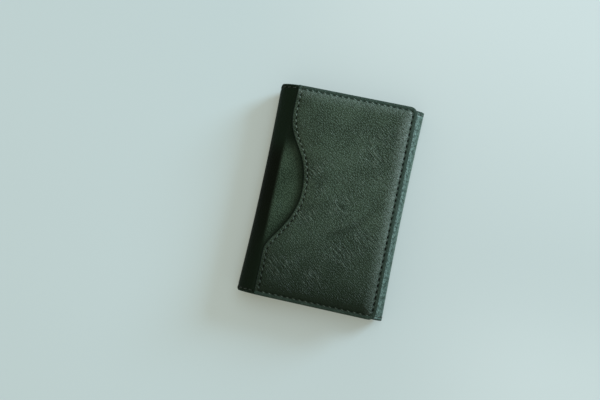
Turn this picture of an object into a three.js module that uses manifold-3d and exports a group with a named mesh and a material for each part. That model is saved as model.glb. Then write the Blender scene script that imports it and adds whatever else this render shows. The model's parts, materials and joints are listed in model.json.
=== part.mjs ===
// Compact trifold travel wallet in leather, closed and lying on its back panel.
// Millimetres. X runs from the spine to the outer fold, Y along the folds, Z up through the layers.
// Five leather segments share one wrapped section: front, spine, back, outer fold and flap.
// They meet on four fold lines that lie on the outer face, so the wallet opens out flat.

import * as THREE from 'three';
import { mergeVertices } from 'three/addons/utils/BufferGeometryUtils.js';
import Module from 'manifold-3d';

const wasm = await Module();
wasm.setup();

// Closed size
const WALLET_LENGTH = 108;
const WALLET_WIDTH = 75;
const FRONT_SETBACK = 4; // front's free edge short of the outer fold
const FLAP_WIDTH = 37.5; // outer fold to the flap's free edge

// Leather, lining and the spaces between layers
const COVER_THICKNESS = 1.2;
const LINING_THICKNESS = 0.4;
const PANEL_THICKNESS = 0.8;
const SLOT_THICKNESS = 0.7;
const POCKET_THICKNESS = 0.85;
const FLAP_POCKET_THICKNESS = 0.8;
const LAYER_GAP = 0.1;
const FLAP_CLEARANCE = 0.6; // back's top card slot to the folded flap
const FRONT_CLEARANCE = 1.0; // folded flap to the front's lowest card slot
const EDGE_ROUND = 0.2; // eased edge of a cut panel

// Folds
const SPINE_REACH = 9; // bulge of the spine past the flat panels
const SPINE_HALF_TURN_DEG = 45; // round the spine from its middle to a fold line
const FOLD_REACH = 4.5;
const FOLD_HALF_TURN_DEG = 45;
const HINGE_GAP = 0.3;

// Corners in plan
const FRONT_CORNER = 3.7;
const FLAP_CORNER = 3.7;
const SPINE_CORNER = 1.5;
const FOLD_CORNER = 0.8;

// Outside pocket with its wave shaped mouth
const POCKET_SETBACK = 0.9; // pocket's lips from the start of the spine's curve
const WAVE_DEPTH = 12.8;
const WAVE_LENGTH = 68;
const WAVE_CENTRE = 1.6;
const WAVE_LIP_PULL = 6;
const WAVE_THROAT_PULL = 19;
const SEAM_INSET = 1.65;
const POCKET_CROWN = 1.9; // rise beside the seam
const POCKET_BOW = 1.1; // slow rise on from there to the middle
const ROLL_WIDTH = 6.5; // seam to the top of the rise
const ROLL_POWER = 2.2;
const MOUTH_ROLL = 15; // mouth to the full swell
const MOUTH_HOLD = 0.75; // share of the swell that is held down at the mouth

// Card panels inside, with upright slots that step down from the top edge
const PANEL_MARGIN = 0.9;
const PANEL_CORNER = 3;
const LINING_MARGIN = 0.5;
const SLOT_COUNT = 3;
const SLOT_STEP = 10;
const TOP_SLOT_DROP = 12;
const SLOT_CORNER = 1;
const FLAP_MOUTH_SETBACK = 4;

// Trimming of the drawn shell to its outline
const CUT_OVERRUN = 1;
const CUT_CLEARANCE = 0.05;

// Facets
const ARC_STEPS = 5;
const CORNER_STEPS = 3;
const WAVE_STEPS = 8;
const POCKET_MIDDLE_STEPS = 3;
const EDGE_STEPS = 1;

// Colours, as sRGB
const LEATHER_GREEN = 0x3a4a3e;
const POCKET_GREEN = 0x40524a;
const FOLD_GREEN = 0x54736a;
const INNER_GREEN = 0x34443a;
const LINING_CHARCOAL = 0x2a2e2b;

// Layer heights, from the table up
const halfLength = WALLET_LENGTH / 2;
const halfWidth = WALLET_WIDTH / 2;
const shellLayers = COVER_THICKNESS + LAYER_GAP + LINING_THICKNESS + LAYER_GAP;
const slotPitch = SLOT_THICKNESS + LAYER_GAP;
const backPanelBottom = shellLayers;
const backSlotsBottom = backPanelBottom + PANEL_THICKNESS + LAYER_GAP;
const backStackTop = backSlotsBottom + SLOT_COUNT * slotPitch - LAYER_GAP;
const flapPocketBottom = backStackTop + FLAP_CLEARANCE;
const flapTop = flapPocketBottom + FLAP_POCKET_THICKNESS + shellLayers;
const frontSlotsBottom = flapTop + FRONT_CLEARANCE;
const frontPanelBottom = frontSlotsBottom + SLOT_COUNT * slotPitch;
const frontTop = frontPanelBottom + PANEL_THICKNESS + shellLayers;
const pocketBottom = frontTop + LAYER_GAP;
const walletHeight = pocketBottom + POCKET_THICKNESS + POCKET_CROWN + POCKET_BOW;

// A wrap is a half round fold of the shell: the spine on the left or the outer fold on the right.
// Its two fold lines lie on the outer face. They are shifted round the wrap by the lift that brings
// openHeight down onto the table when both have turned through a right angle.
function makeWrap(side, reach, top, halfTurnDeg, openHeight) {
  const rise = top / 2;
  const flat = side * (halfWidth - reach);
  const spread = THREE.MathUtils.degToRad(halfTurnDeg);
  const lift = Math.asin((openHeight - top) / 2 / (rise * Math.cos(spread) + reach * Math.sin(spread)));
  return { side, reach, rise, top, flat, lowAngle: lift - spread, highAngle: lift + spread };
}

const spineWrap = makeWrap(-1, SPINE_REACH, frontTop, SPINE_HALF_TURN_DEG, walletHeight);
const foldWrap = makeWrap(1, FOLD_REACH, flapTop, FOLD_HALF_TURN_DEG, flapTop);

const frontEdge = halfWidth - FRONT_SETBACK;
const flapEdge = halfWidth - FLAP_WIDTH;

// Fold line on the outer face of a wrap
function foldLine(wrap, angle) {
  const x = wrap.flat + wrap.side * wrap.reach * Math.cos(angle);
  const z = wrap.rise + wrap.rise * Math.sin(angle);
  return new THREE.Vector3(x, 0, z);
}

// Half of the gap at a fold line, as an angle of the wrap's ellipse
function gapAngle(wrap, angle) {
  const speed = Math.hypot(wrap.reach * Math.sin(angle), wrap.rise * Math.cos(angle));
  return HINGE_GAP / 2 / speed;
}

// Arc of a wrap, a given depth below its outer face, added to a section
function addWrapArc(section, wrap, depth, fromAngle, toAngle) {
  const onLeft = wrap.side < 0;
  const start = onLeft ? Math.PI - fromAngle : fromAngle;
  const end = onLeft ? Math.PI - toAngle : toAngle;
  const rising = toAngle > fromAngle;
  const clockwise = onLeft === rising;
  section.absellipse(wrap.flat, wrap.rise, wrap.reach - depth, wrap.rise - depth, start, end, clockwise);
}

// Section of a panel that hangs from the top of a wrap: the front or the flap
function panelSection(wrap, edge, depth, thickness) {
  const foldAngle = wrap.highAngle + gapAngle(wrap, wrap.highAngle);
  const middle = wrap.top - depth - thickness / 2;
  const easedEdge = edge + wrap.side * (thickness / 2);
  const section = new THREE.Shape();
  addWrapArc(section, wrap, depth, Math.PI / 2, foldAngle);
  addWrapArc(section, wrap, depth + thickness, foldAngle, Math.PI / 2);
  section.lineTo(easedEdge, middle - thickness / 2);
  section.absarc(easedEdge, middle, thickness / 2, -Math.PI / 2, Math.PI / 2, wrap.side > 0);
  section.closePath();
  return section;
}

// Section of the strip between a wrap's two fold lines: the spine or the outer fold
function stripSection(wrap, depth, thickness) {
  const low = wrap.lowAngle + gapAngle(wrap, wrap.lowAngle);
  const high = wrap.highAngle - gapAngle(wrap, wrap.highAngle);
  const section = new THREE.Shape();
  addWrapArc(section, wrap, depth, high, low);
  addWrapArc(section, wrap, depth + thickness, low, high);
  section.closePath();
  return section;
}

// Section of the back, which turns up into both wraps
function backSection(depth, thickness) {
  const leftEnd = spineWrap.lowAngle - gapAngle(spineWrap, spineWrap.lowAngle);
  const rightEnd = foldWrap.lowAngle - gapAngle(foldWrap, foldWrap.lowAngle);
  const section = new THREE.Shape();
  addWrapArc(section, spineWrap, depth, leftEnd, -Math.PI / 2);
  addWrapArc(section, foldWrap, depth, -Math.PI / 2, rightEnd);
  addWrapArc(section, foldWrap, depth + thickness, rightEnd, -Math.PI / 2);
  addWrapArc(section, spineWrap, depth + thickness, -Math.PI / 2, leftEnd);
  section.closePath();
  return section;
}

// Rectangle in plan, with its corner radii given counterclockwise from the lower right
function plan(left, right, bottom, top, [lowerRight, upperRight, upperLeft, lowerLeft]) {
  const quarter = Math.PI / 2;
  const shape = new THREE.Shape();
  shape.absarc(right - lowerRight, bottom + lowerRight, lowerRight, -quarter, 0, false);
  shape.absarc(right - upperRight, top - upperRight, upperRight, 0, quarter, false);
  shape.absarc(left + upperLeft, top - upperLeft, upperLeft, quarter, 2 * quarter, false);
  shape.absarc(left + lowerLeft, bottom + lowerLeft, lowerLeft, 2 * quarter, 3 * quarter, false);
  shape.closePath();
  return shape;
}

// Closed geometry with shared corners, as a solid that can be cut
function toSolid(geometry) {
  const bare = geometry.clone();
  bare.deleteAttribute('normal');
  bare.deleteAttribute('uv');
  const merged = mergeVertices(bare);
  const vertProperties = new Float32Array(merged.attributes.position.array);
  const triVerts = new Uint32Array(merged.index.array);
  return new wasm.Manifold(new wasm.Mesh({ numProp: 3, vertProperties, triVerts }));
}

function toGeometry(solid) {
  const mesh = solid.getMesh();
  const geometry = new THREE.BufferGeometry();
  geometry.setAttribute('position', new THREE.BufferAttribute(new Float32Array(mesh.vertProperties), 3));
  geometry.setIndex(new THREE.BufferAttribute(new Uint32Array(mesh.triVerts), 1));
  geometry.computeVertexNormals();
  return geometry;
}

// Shell piece: a section drawn along the folds, then cut to its outline in plan
function shellPiece(section, outline) {
  const drawn = new THREE.ExtrudeGeometry(section, {
    depth: WALLET_LENGTH + 2 * CUT_OVERRUN,
    bevelEnabled: false,
    curveSegments: ARC_STEPS,
  });
  drawn.rotateX(Math.PI / 2);
  drawn.translate(0, halfLength + CUT_OVERRUN, 0);
  const cutter = new THREE.ExtrudeGeometry(outline, {
    depth: walletHeight + 2 * CUT_OVERRUN,
    bevelEnabled: false,
    curveSegments: ARC_STEPS,
  });
  cutter.translate(0, 0, -CUT_OVERRUN);
  return toGeometry(toSolid(drawn).intersect(toSolid(cutter)));
}

// Flat piece cut from sheet, with eased edges
function sheetPiece(outline, bottom, thickness) {
  const geometry = new THREE.ExtrudeGeometry(outline, {
    depth: thickness - 2 * EDGE_ROUND,
    bevelEnabled: true,
    bevelThickness: EDGE_ROUND,
    bevelSize: EDGE_ROUND,
    bevelOffset: -EDGE_ROUND,
    bevelSegments: EDGE_STEPS,
    curveSegments: CORNER_STEPS,
  });
  geometry.translate(0, 0, bottom + EDGE_ROUND);
  return geometry;
}

// Outline of a shell piece in plan, which stands clear of the section's own ends
function shellPlan(left, right, inset, leftRadius, rightRadius) {
  const reach = halfLength - inset;
  const corners = [rightRadius, rightRadius, leftRadius, leftRadius];
  return plan(left - CUT_CLEARANCE, right + CUT_CLEARANCE, -reach, reach, corners);
}

// Closed sheet between two grids of points: both faces, and a wall round their outline
function closedSheet(top, bottom) {
  const rows = top.length;
  const columns = top[0].length;
  const under = rows * columns;
  const index = [];
  const quad = (a, b, c, d) => index.push(a, b, c, a, c, d);
  for (let row = 0; row < rows - 1; row += 1) {
    for (let column = 0; column < columns - 1; column += 1) {
      const a = row * columns + column;
      const b = a + columns;
      quad(a, a + 1, b + 1, b);
      quad(under + a, under + b, under + b + 1, under + a + 1);
    }
  }
  const outline = [];
  for (let column = 0; column < columns - 1; column += 1) outline.push(column);
  for (let row = 0; row < rows - 1; row += 1) outline.push(row * columns + columns - 1);
  for (let column = columns - 1; column > 0; column -= 1) outline.push((rows - 1) * columns + column);
  for (let row = rows - 1; row > 0; row -= 1) outline.push(row * columns);
  outline.forEach((corner, step) => {
    const next = outline[(step + 1) % outline.length];
    quad(corner, under + corner, under + next, next);
  });
  const geometry = new THREE.BufferGeometry();
  geometry.setFromPoints([...top.flat(), ...bottom.flat()]);
  geometry.setIndex(index);
  geometry.computeVertexNormals();
  return geometry;
}

// Outside pocket: its mouth from the lower to the upper end, as a lip, the wave and a lip
const pocketLip = spineWrap.flat + POCKET_SETBACK;
const waveThroat = pocketLip + WAVE_DEPTH;
const endStops = [SEAM_INSET, FRONT_CORNER, SEAM_INSET + ROLL_WIDTH];

function pocketMouth() {
  const waveTop = WAVE_CENTRE + WAVE_LENGTH / 2;
  const waveBottom = WAVE_CENTRE - WAVE_LENGTH / 2;
  const mouth = new THREE.Path();
  mouth.moveTo(pocketLip, -halfLength);
  for (const stop of endStops) mouth.lineTo(pocketLip, stop - halfLength);
  mouth.lineTo(pocketLip, waveBottom);
  mouth.bezierCurveTo(
    pocketLip, waveBottom + WAVE_LIP_PULL,
    waveThroat, WAVE_CENTRE - WAVE_THROAT_PULL,
    waveThroat, WAVE_CENTRE,
  );
  mouth.bezierCurveTo(
    waveThroat, WAVE_CENTRE + WAVE_THROAT_PULL,
    pocketLip, waveTop - WAVE_LIP_PULL,
    pocketLip, waveTop,
  );
  for (const stop of endStops.toReversed()) mouth.lineTo(pocketLip, halfLength - stop);
  mouth.lineTo(pocketLip, halfLength);
  return mouth.getPoints(WAVE_STEPS);
}

// How far the front's rounded corner cuts in, at a distance from the free edge
function cornerCut(fromEdge) {
  const past = Math.max(FRONT_CORNER - fromEdge, 0);
  return FRONT_CORNER - Math.sqrt(FRONT_CORNER ** 2 - past ** 2);
}

// Swell of the pocket: it rises from the seam, bows on towards the middle and is held down at the mouth
function pocketSwell(x, y, mouthX) {
  const share = (value, span) => THREE.MathUtils.clamp(value / span, 0, 1);
  const fromRim = Math.min(frontEdge - x, halfLength - Math.abs(y));
  const rise = 1 - (1 - share(fromRim - SEAM_INSET, ROLL_WIDTH)) ** ROLL_POWER;
  const bow = 1 - (1 - share(fromRim, frontEdge - waveThroat - MOUTH_ROLL)) ** 2;
  const held = MOUTH_HOLD * (1 - share(x - mouthX, MOUTH_ROLL)) ** 2;
  return (POCKET_CROWN * rise + POCKET_BOW * bow) * (1 - held);
}

// Rows of the pocket's sheet run along the folds, from the free edge to the mouth
function pocketPiece() {
  const mouth = pocketMouth();
  const cornerStops = [0, Math.PI / 6, Math.PI / 3].map((turn) => FRONT_CORNER * (1 - Math.cos(turn)));
  const edgeStops = [...cornerStops, FRONT_CORNER, SEAM_INSET + ROLL_WIDTH / 2, SEAM_INSET + ROLL_WIDTH];
  const mouthStops = [MOUTH_ROLL, MOUTH_ROLL / 2, MOUTH_ROLL / 6, 0];
  const inner = frontEdge - edgeStops.at(-1);
  const rows = edgeStops.map((stop) => () => frontEdge - stop);
  for (let step = 1; step < POCKET_MIDDLE_STEPS; step += 1) {
    const share = step / POCKET_MIDDLE_STEPS;
    rows.push((mouthX) => THREE.MathUtils.lerp(inner, mouthX + MOUTH_ROLL, share));
  }
  rows.push(...mouthStops.map((stop) => (mouthX) => mouthX + stop));
  const bottom = rows.map((place) => mouth.map((point) => {
    const x = place(point.x);
    const y = point.y * (1 - cornerCut(frontEdge - x) / halfLength);
    return new THREE.Vector3(x, y, pocketBottom + pocketSwell(x, y, point.x));
  }));
  const lift = new THREE.Vector3(0, 0, POCKET_THICKNESS);
  const top = bottom.map((row) => row.map((point) => point.clone().add(lift)));
  return closedSheet(top, bottom);
}

// Inner card panel with its slots stacked on it, given the direction in which the stack grows
function addCardPanel(body, name, left, right, panelBottom, firstSlotBottom, growth) {
  const bottom = -halfLength + PANEL_MARGIN;
  const top = halfLength - PANEL_MARGIN;
  const panelCorners = [PANEL_CORNER, PANEL_CORNER, PANEL_CORNER, PANEL_CORNER];
  const slotCorners = [PANEL_CORNER, SLOT_CORNER, SLOT_CORNER, PANEL_CORNER];
  const panel = sheetPiece(plan(left, right, bottom, top, panelCorners), panelBottom, PANEL_THICKNESS);
  addPiece(body, `${name}_panel`, panel, INNER_GREEN);
  for (let step = 0; step < SLOT_COUNT; step += 1) {
    const mouth = halfLength - TOP_SLOT_DROP - step * SLOT_STEP;
    const slotBottom = firstSlotBottom + growth * step * slotPitch;
    const slot = sheetPiece(plan(left, right, bottom, mouth, slotCorners), slotBottom, SLOT_THICKNESS);
    addPiece(body, `${name}_slot_${step + 1}`, slot, INNER_GREEN);
  }
}

// A body turns about its fold line. Pieces are drawn in the closed wallet's frame.
function makeBody(parent, line) {
  const body = new THREE.Group();
  body.userData.foldLine = line;
  const parentLine = parent ? parent.userData.foldLine : new THREE.Vector3();
  body.position.copy(line).sub(parentLine);
  if (parent) parent.add(body);
  return body;
}

function addPiece(body, name, geometry, color, roughness = 0.55) {
  const material = new THREE.MeshStandardMaterial({ color, roughness, metalness: 0 });
  const mesh = new THREE.Mesh(geometry, material);
  mesh.name = name;
  mesh.position.copy(body.userData.foldLine).negate();
  body.add(mesh);
}

const wallet = makeBody(null, new THREE.Vector3());
const spine = makeBody(wallet, foldLine(spineWrap, spineWrap.lowAngle));
const front = makeBody(spine, foldLine(spineWrap, spineWrap.highAngle));
const fold = makeBody(wallet, foldLine(foldWrap, foldWrap.lowAngle));
const flap = makeBody(fold, foldLine(foldWrap, foldWrap.highAngle));

// Leather shell and the lining inside it, segment by segment
const shellSheets = [
  { suffix: 'cover', depth: 0, thickness: COVER_THICKNESS, inset: 0, roughness: 0.5 },
  {
    suffix: 'lining',
    depth: COVER_THICKNESS + LAYER_GAP,
    thickness: LINING_THICKNESS,
    inset: LINING_MARGIN,
    roughness: 0.9,
  },
];
for (const { suffix, depth, thickness, inset, roughness } of shellSheets) {
  const isCover = suffix === 'cover';
  const panelColor = isCover ? LEATHER_GREEN : LINING_CHARCOAL;
  const foldColor = isCover ? FOLD_GREEN : LINING_CHARCOAL;
  const frontEnd = frontEdge - inset;
  const flapEnd = flapEdge + inset;
  const wholePlan = shellPlan(-halfWidth, halfWidth, inset, SPINE_CORNER, FOLD_CORNER);
  const frontPlan = shellPlan(-halfWidth, frontEnd, inset, SPINE_CORNER, FRONT_CORNER);
  const flapPlan = shellPlan(flapEnd, halfWidth, inset, FLAP_CORNER, FOLD_CORNER);
  const backPiece = shellPiece(backSection(depth, thickness), wholePlan);
  const spinePiece = shellPiece(stripSection(spineWrap, depth, thickness), wholePlan);
  const frontPiece = shellPiece(panelSection(spineWrap, frontEnd, depth, thickness), frontPlan);
  const foldPiece = shellPiece(stripSection(foldWrap, depth, thickness), wholePlan);
  const flapPiece = shellPiece(panelSection(foldWrap, flapEnd, depth, thickness), flapPlan);
  addPiece(wallet, `back_${suffix}`, backPiece, panelColor, roughness);
  addPiece(spine, `spine_${suffix}`, spinePiece, panelColor, roughness);
  addPiece(front, `front_${suffix}`, frontPiece, panelColor, roughness);
  addPiece(fold, `fold_${suffix}`, foldPiece, foldColor, roughness);
  addPiece(flap, `flap_${suffix}`, flapPiece, panelColor, roughness);
}

// Outside slip pocket on the front
addPiece(front, 'front_pocket', pocketPiece(), POCKET_GREEN);

// Card panels: the back's slots grow upwards, the front's grow downwards from its panel
const panelLeft = spineWrap.flat + PANEL_MARGIN;
addCardPanel(wallet, 'back', panelLeft, foldWrap.flat - PANEL_MARGIN, backPanelBottom, backSlotsBottom, 1);
const frontFirstSlot = frontPanelBottom - slotPitch;
addCardPanel(front, 'front', panelLeft, frontEdge - PANEL_MARGIN, frontPanelBottom, frontFirstSlot, -1);

// Slip pocket inside the flap, open towards the flap's free edge
const flapPocketPlan = plan(
  flapEdge + FLAP_MOUTH_SETBACK,
  foldWrap.flat - PANEL_MARGIN,
  -halfLength + PANEL_MARGIN,
  halfLength - PANEL_MARGIN,
  [PANEL_CORNER, PANEL_CORNER, SLOT_CORNER, SLOT_CORNER],
);
const flapPocket = sheetPiece(flapPocketPlan, flapPocketBottom, FLAP_POCKET_THICKNESS);
addPiece(flap, 'flap_pocket', flapPocket, INNER_GREEN);

export default wallet;
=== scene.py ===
"""Travel wallet in dark green leather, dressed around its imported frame.

Sizes are in millimetres and every mesh is written in metres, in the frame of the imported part: X runs from
the spine to the outer fold, Y runs along the spine and Z runs up from the table.
"""

import json
import logging
import math
from dataclasses import dataclass, field
from enum import Enum
from functools import reduce
from typing import Callable

import bpy
import numpy as np
from mathutils import Matrix, Vector


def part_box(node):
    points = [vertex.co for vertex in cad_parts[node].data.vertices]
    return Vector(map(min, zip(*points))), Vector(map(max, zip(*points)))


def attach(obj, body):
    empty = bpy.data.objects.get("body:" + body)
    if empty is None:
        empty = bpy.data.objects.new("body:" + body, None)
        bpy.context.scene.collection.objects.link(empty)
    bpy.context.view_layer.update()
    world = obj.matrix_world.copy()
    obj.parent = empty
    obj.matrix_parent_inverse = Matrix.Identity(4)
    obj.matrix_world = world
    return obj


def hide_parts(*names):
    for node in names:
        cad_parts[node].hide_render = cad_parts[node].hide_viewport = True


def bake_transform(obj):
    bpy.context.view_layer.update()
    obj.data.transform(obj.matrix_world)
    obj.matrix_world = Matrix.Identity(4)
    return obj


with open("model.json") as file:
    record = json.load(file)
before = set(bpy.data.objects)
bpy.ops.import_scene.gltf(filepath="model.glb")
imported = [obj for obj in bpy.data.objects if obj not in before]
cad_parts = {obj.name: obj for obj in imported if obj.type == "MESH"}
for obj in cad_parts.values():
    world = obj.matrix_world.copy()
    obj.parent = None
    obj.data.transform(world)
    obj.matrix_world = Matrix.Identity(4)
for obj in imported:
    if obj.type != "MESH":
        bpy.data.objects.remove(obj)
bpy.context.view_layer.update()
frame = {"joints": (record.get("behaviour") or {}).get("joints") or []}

LOG = logging.getLogger("wallet")
MM = 0.001
FULL_TURN = 2.0 * math.pi

# The map of each sheet and the numbers on its points, which the materials read
SHEET_MAP = "sheet_place"
EDGE_VALUE = "edge_distance"
HOLE_VALUE = "stitch_hole"
# The pocket's pressed rim, and on the shell the spine, whose shade is painted
RIM_AND_SPINE_SHADE_VALUE = "pressed_rim_and_spine_shade"
# Painted highlight on the outer fold, the pocket's puffed edges and the pocket's thread
HIGHLIGHT_VALUE = "painted_highlight"
# Painted shade: beside the pocket's mouth, in the pocket's dent and at its lower end
SHADE_VALUE = "painted_shade"
WRINKLE_VALUE = "wrinkled"

# Points that draw a level line, a short level line, half an ellipse, a curve and a straight lip
LEVEL_POINTS = 200
SHORT_POINTS = 9
ROUND_POINTS = 241
CURVE_POINTS = 80
LIP_POINTS = 40

# The range that most of a noise texture fills
NOISE_LOW = 0.3
NOISE_HIGH = 0.7

Array = np.ndarray
Socket = bpy.types.NodeSocket
Colour = tuple[float, float, float]
Pair = tuple[float, float]
Triple = tuple[float, float, float]


class Body(Enum):
    """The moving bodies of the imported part."""

    BACK = "back"
    SPINE = "spine"
    FRONT = "front"
    FOLD = "fold"
    FLAP = "flap"


class Slot(Enum):
    """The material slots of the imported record."""

    OUTER = "outer_leather"
    INNER = "inner_leather"
    LINING = "lining"


class Facing(Enum):
    """The side that a level sheet shows."""

    UP = 1
    DOWN = -1


def ease(value: Array) -> Array:
    """Smooth step from 0 to 1.

    Args:
        value: Any numbers; they are held between 0 and 1 as t.

    Returns:
        t squared times three minus two t.
    """
    held = np.clip(value, 0.0, 1.0)
    return held * held * (3.0 - 2.0 * held)


def rise(value: Array, start: float, width: float) -> Array:
    """Smooth step that is 0 up to the start and 1 past the width beyond it."""
    return ease((value - start) / width)


def falling(distance: Array, width: float | Array, power: float) -> Array:
    """One less the distance as a share of the width, held between 0 and 1 and raised to the power."""
    return np.clip(1.0 - distance / width, 0.0, 1.0) ** power


def quarter_round(distance: Array, radius: float) -> Array:
    """Drop of a rounded edge.

    Args:
        distance: How far each point is inside the edge.
        radius: Radius of the quarter circle that rounds the edge.

    Returns:
        The radius less the height of the quarter circle there, which is 0 past the radius.
    """
    inside = np.clip(radius - distance, 0.0, radius)
    return radius - np.sqrt(radius * radius - inside * inside)


def corner_distance(end: Array, side: Array, radius: float) -> Array:
    """Distance inside an outline with one rounded corner.

    Args:
        end: Distance from the straight end of the outline.
        side: Distance from its straight side.
        radius: Radius of the corner between them.

    Returns:
        Near the corner the radius less the distance to its centre, and the smaller distance elsewhere.
    """
    past_end = np.maximum(radius - end, 0.0)
    past_side = np.maximum(radius - side, 0.0)
    in_corner = (past_end > 0.0) & (past_side > 0.0)
    return np.where(in_corner, radius - np.hypot(past_end, past_side), np.minimum(end, side))


def graded(low: float, high: float, step: float, edge: float,
           free: tuple[bool, bool] = (True, True)) -> Array:
    """Stations between two ends, close together where an edge is rounded.

    Args:
        low: First station.
        high: Last station.
        step: Length of the even steps.
        edge: Radius of the rounded edge at a free end.
        free: Whether the low and the high end are free edges.

    Returns:
        Even steps, with the steps of a quarter circle seen from above at each free end.
    """
    lead = edge * (1.0 - np.cos(np.linspace(0.0, np.pi / 2, 4)))[:-1]
    first = low + edge * free[0]
    last = high - edge * free[1]
    even = np.linspace(first, last, max(int(round((last - first) / step)), 1) + 1)
    head = low + lead if free[0] else even[:0]
    tail = (high - lead)[::-1] if free[1] else even[:0]
    return np.concatenate([head, even, tail])


def path_lengths(path: Array) -> Array:
    """Length along a path at each of its points, summed over its straight steps."""
    return np.concatenate([[0.0], np.cumsum(np.linalg.norm(np.diff(path, axis=0), axis=1))])


def resampled(path: Array, stations: Array) -> Array:
    """Points of a path at given lengths along it, by straight steps between its points.

    Args:
        path: Points of the path, one row each.
        stations: Lengths along the path.

    Returns:
        One point for each length.
    """
    lengths = path_lengths(path)
    return np.stack([np.interp(stations, lengths, column) for column in path.T], axis=1)


def rounded_seam(start: float, side: float, end: float, radius: float, steps: int = 24) -> Array:
    """Seam along both sides and one end of a sheet whose sides lie evenly about Y = 0.

    Args:
        start: Length along the sheet where the seam starts and where it ends.
        side: Y of the seam's upper side.
        end: Length of its straight end.
        radius: Radius of the two corners.
        steps: Points on each corner.

    Returns:
        The upper side and a quarter circle, then the same mirrored and turned round.
    """
    turn = np.linspace(0.0, np.pi / 2, steps)
    inward = math.copysign(radius, start - end)
    corner = np.stack([end + inward - inward * np.sin(turn), side - radius + radius * np.cos(turn)], axis=1)
    upper = np.concatenate([[[start, side]], corner])
    return np.concatenate([upper, upper[::-1] * (1.0, -1.0)])


def grid_quads(rows: int, columns: int) -> Array:
    """Four corners of every cell of a grid of points that is counted row by row."""
    index = np.arange(rows * columns).reshape(rows, columns)
    return np.stack([index[:-1, :-1], index[1:, :-1], index[1:, 1:], index[:-1, 1:]], -1).reshape(-1, 4)


def node_box(node: str) -> tuple[Array, Array]:
    """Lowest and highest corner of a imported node, in millimetres."""
    low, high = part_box(node)
    return np.array(low) / MM, np.array(high) / MM


def link(thing: bpy.types.Object) -> None:
    """Puts an object into the scene."""
    bpy.context.scene.collection.objects.link(thing)


@dataclass
class Surface:
    """The arrays of one closed mesh, before it is written."""

    points: Array  # places in millimetres
    faces: Array  # four corners a face, anticlockwise from outside
    place: Array  # place of each point on its own sheet, in millimetres
    values: dict[str, Array]  # named numbers on the points, which the materials read
    flat: Array  # whether each face is shaded flat

    def turn_outward(self) -> None:
        """Turns every face round if the closed volume, summed as tetrahedra from the origin, is negative."""
        corner = self.points[self.faces]
        first = np.cross(corner[:, 0], corner[:, 1])
        second = np.cross(corner[:, 0], corner[:, 2])
        volume = (first * corner[:, 2]).sum() + (second * corner[:, 3]).sum()
        if volume < 0.0:
            self.faces = self.faces[:, ::-1]

    def write(self, name: str, material: bpy.types.Material) -> bpy.types.Object:
        """Writes the arrays into a new mesh object at the origin.

        Args:
            name: Name of the piece.
            material: Its finish.

        Returns:
            The new object, linked to the scene.
        """
        self.turn_outward()
        mesh = bpy.data.meshes.new(name)
        mesh.vertices.add(len(self.points))
        mesh.vertices.foreach_set("co", (self.points * MM).astype(np.float32).ravel())
        mesh.loops.add(self.faces.size)
        mesh.loops.foreach_set("vertex_index", self.faces.astype(np.int32).ravel())
        mesh.polygons.add(len(self.faces))
        mesh.polygons.foreach_set("loop_start", np.arange(0, self.faces.size, 4, dtype=np.int32))
        mesh.polygons.foreach_set("use_smooth", ~self.flat)
        mesh.update(calc_edges=True)
        layer = mesh.uv_layers.new(name=SHEET_MAP)
        layer.uv.foreach_set("vector", (self.place[self.faces.ravel()] * MM).astype(np.float32).ravel())
        for value_name, numbers in self.values.items():
            held = mesh.attributes.new(value_name, "FLOAT", "POINT")
            held.data.foreach_set("value", numbers.astype(np.float32))
        mesh.materials.append(material)
        piece = bpy.data.objects.new(name, mesh)
        link(piece)
        LOG.info("%s: %d faces", name, len(self.faces))
        return piece


@dataclass
class SheetLine:
    """A line in the XZ plane that a sheet follows.

    A place on the sheet is its length s along the line, its y, and its height above the line along the
    outward normal, which is the line's direction turned a quarter clockwise as seen against Y.
    """

    points: Array  # X and Z, close together where the line turns
    lengths: Array = field(init=False)  # along the line at each point
    tangents: Array = field(init=False)  # direction of the line at each point

    def __post_init__(self) -> None:
        """Measures the line and its directions once."""
        self.lengths = path_lengths(self.points)
        slope = np.gradient(self.points, self.lengths, axis=0)
        self.tangents = slope / np.linalg.norm(slope, axis=1, keepdims=True)

    def on_line(self, columns: Array, s: Array) -> tuple[Array, Array]:
        """X and Z columns read off at lengths s, by straight steps between the line's points."""
        return np.interp(s, self.lengths, columns[:, 0]), np.interp(s, self.lengths, columns[:, 1])

    def place(self, s: Array, y: Array, height: Array) -> Array:
        """Places on and above the line.

        Args:
            s: Lengths along the line.
            y: Y of each place.
            height: Height of each place along the outward normal.

        Returns:
            X, Y and Z: the line's point plus the normal times the height.
        """
        x, z = self.on_line(self.points, s)
        along_x, along_z = self.on_line(self.tangents, s)
        return np.stack([x + along_z * height, y + 0.0 * s, z - along_x * height], axis=-1)

    def nearest(self, x: float, z: float) -> float:
        """Length along the line at its point nearest to X and Z."""
        return float(self.lengths[np.argmin(np.hypot(self.points[:, 0] - x, self.points[:, 1] - z))])


def level_points(first_x: float, last_x: float, level: float, count: int) -> Array:
    """X and Z of even points on a level line."""
    return np.stack([np.linspace(first_x, last_x, count), np.full(count, level)], axis=1)


def level_line(low_x: float, high_x: float, level: float, facing: Facing) -> SheetLine:
    """A level line for a flat sheet.

    Args:
        low_x: Lowest X of the sheet.
        high_x: Highest X of the sheet.
        level: Z of the sheet's shown face.
        facing: Which way that face looks.

    Returns:
        The line from high to low X if the face looks up, and from low to high X if it looks down.
    """
    ends = (high_x, low_x) if facing is Facing.UP else (low_x, high_x)
    return SheetLine(level_points(*ends, level, SHORT_POINTS))


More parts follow.
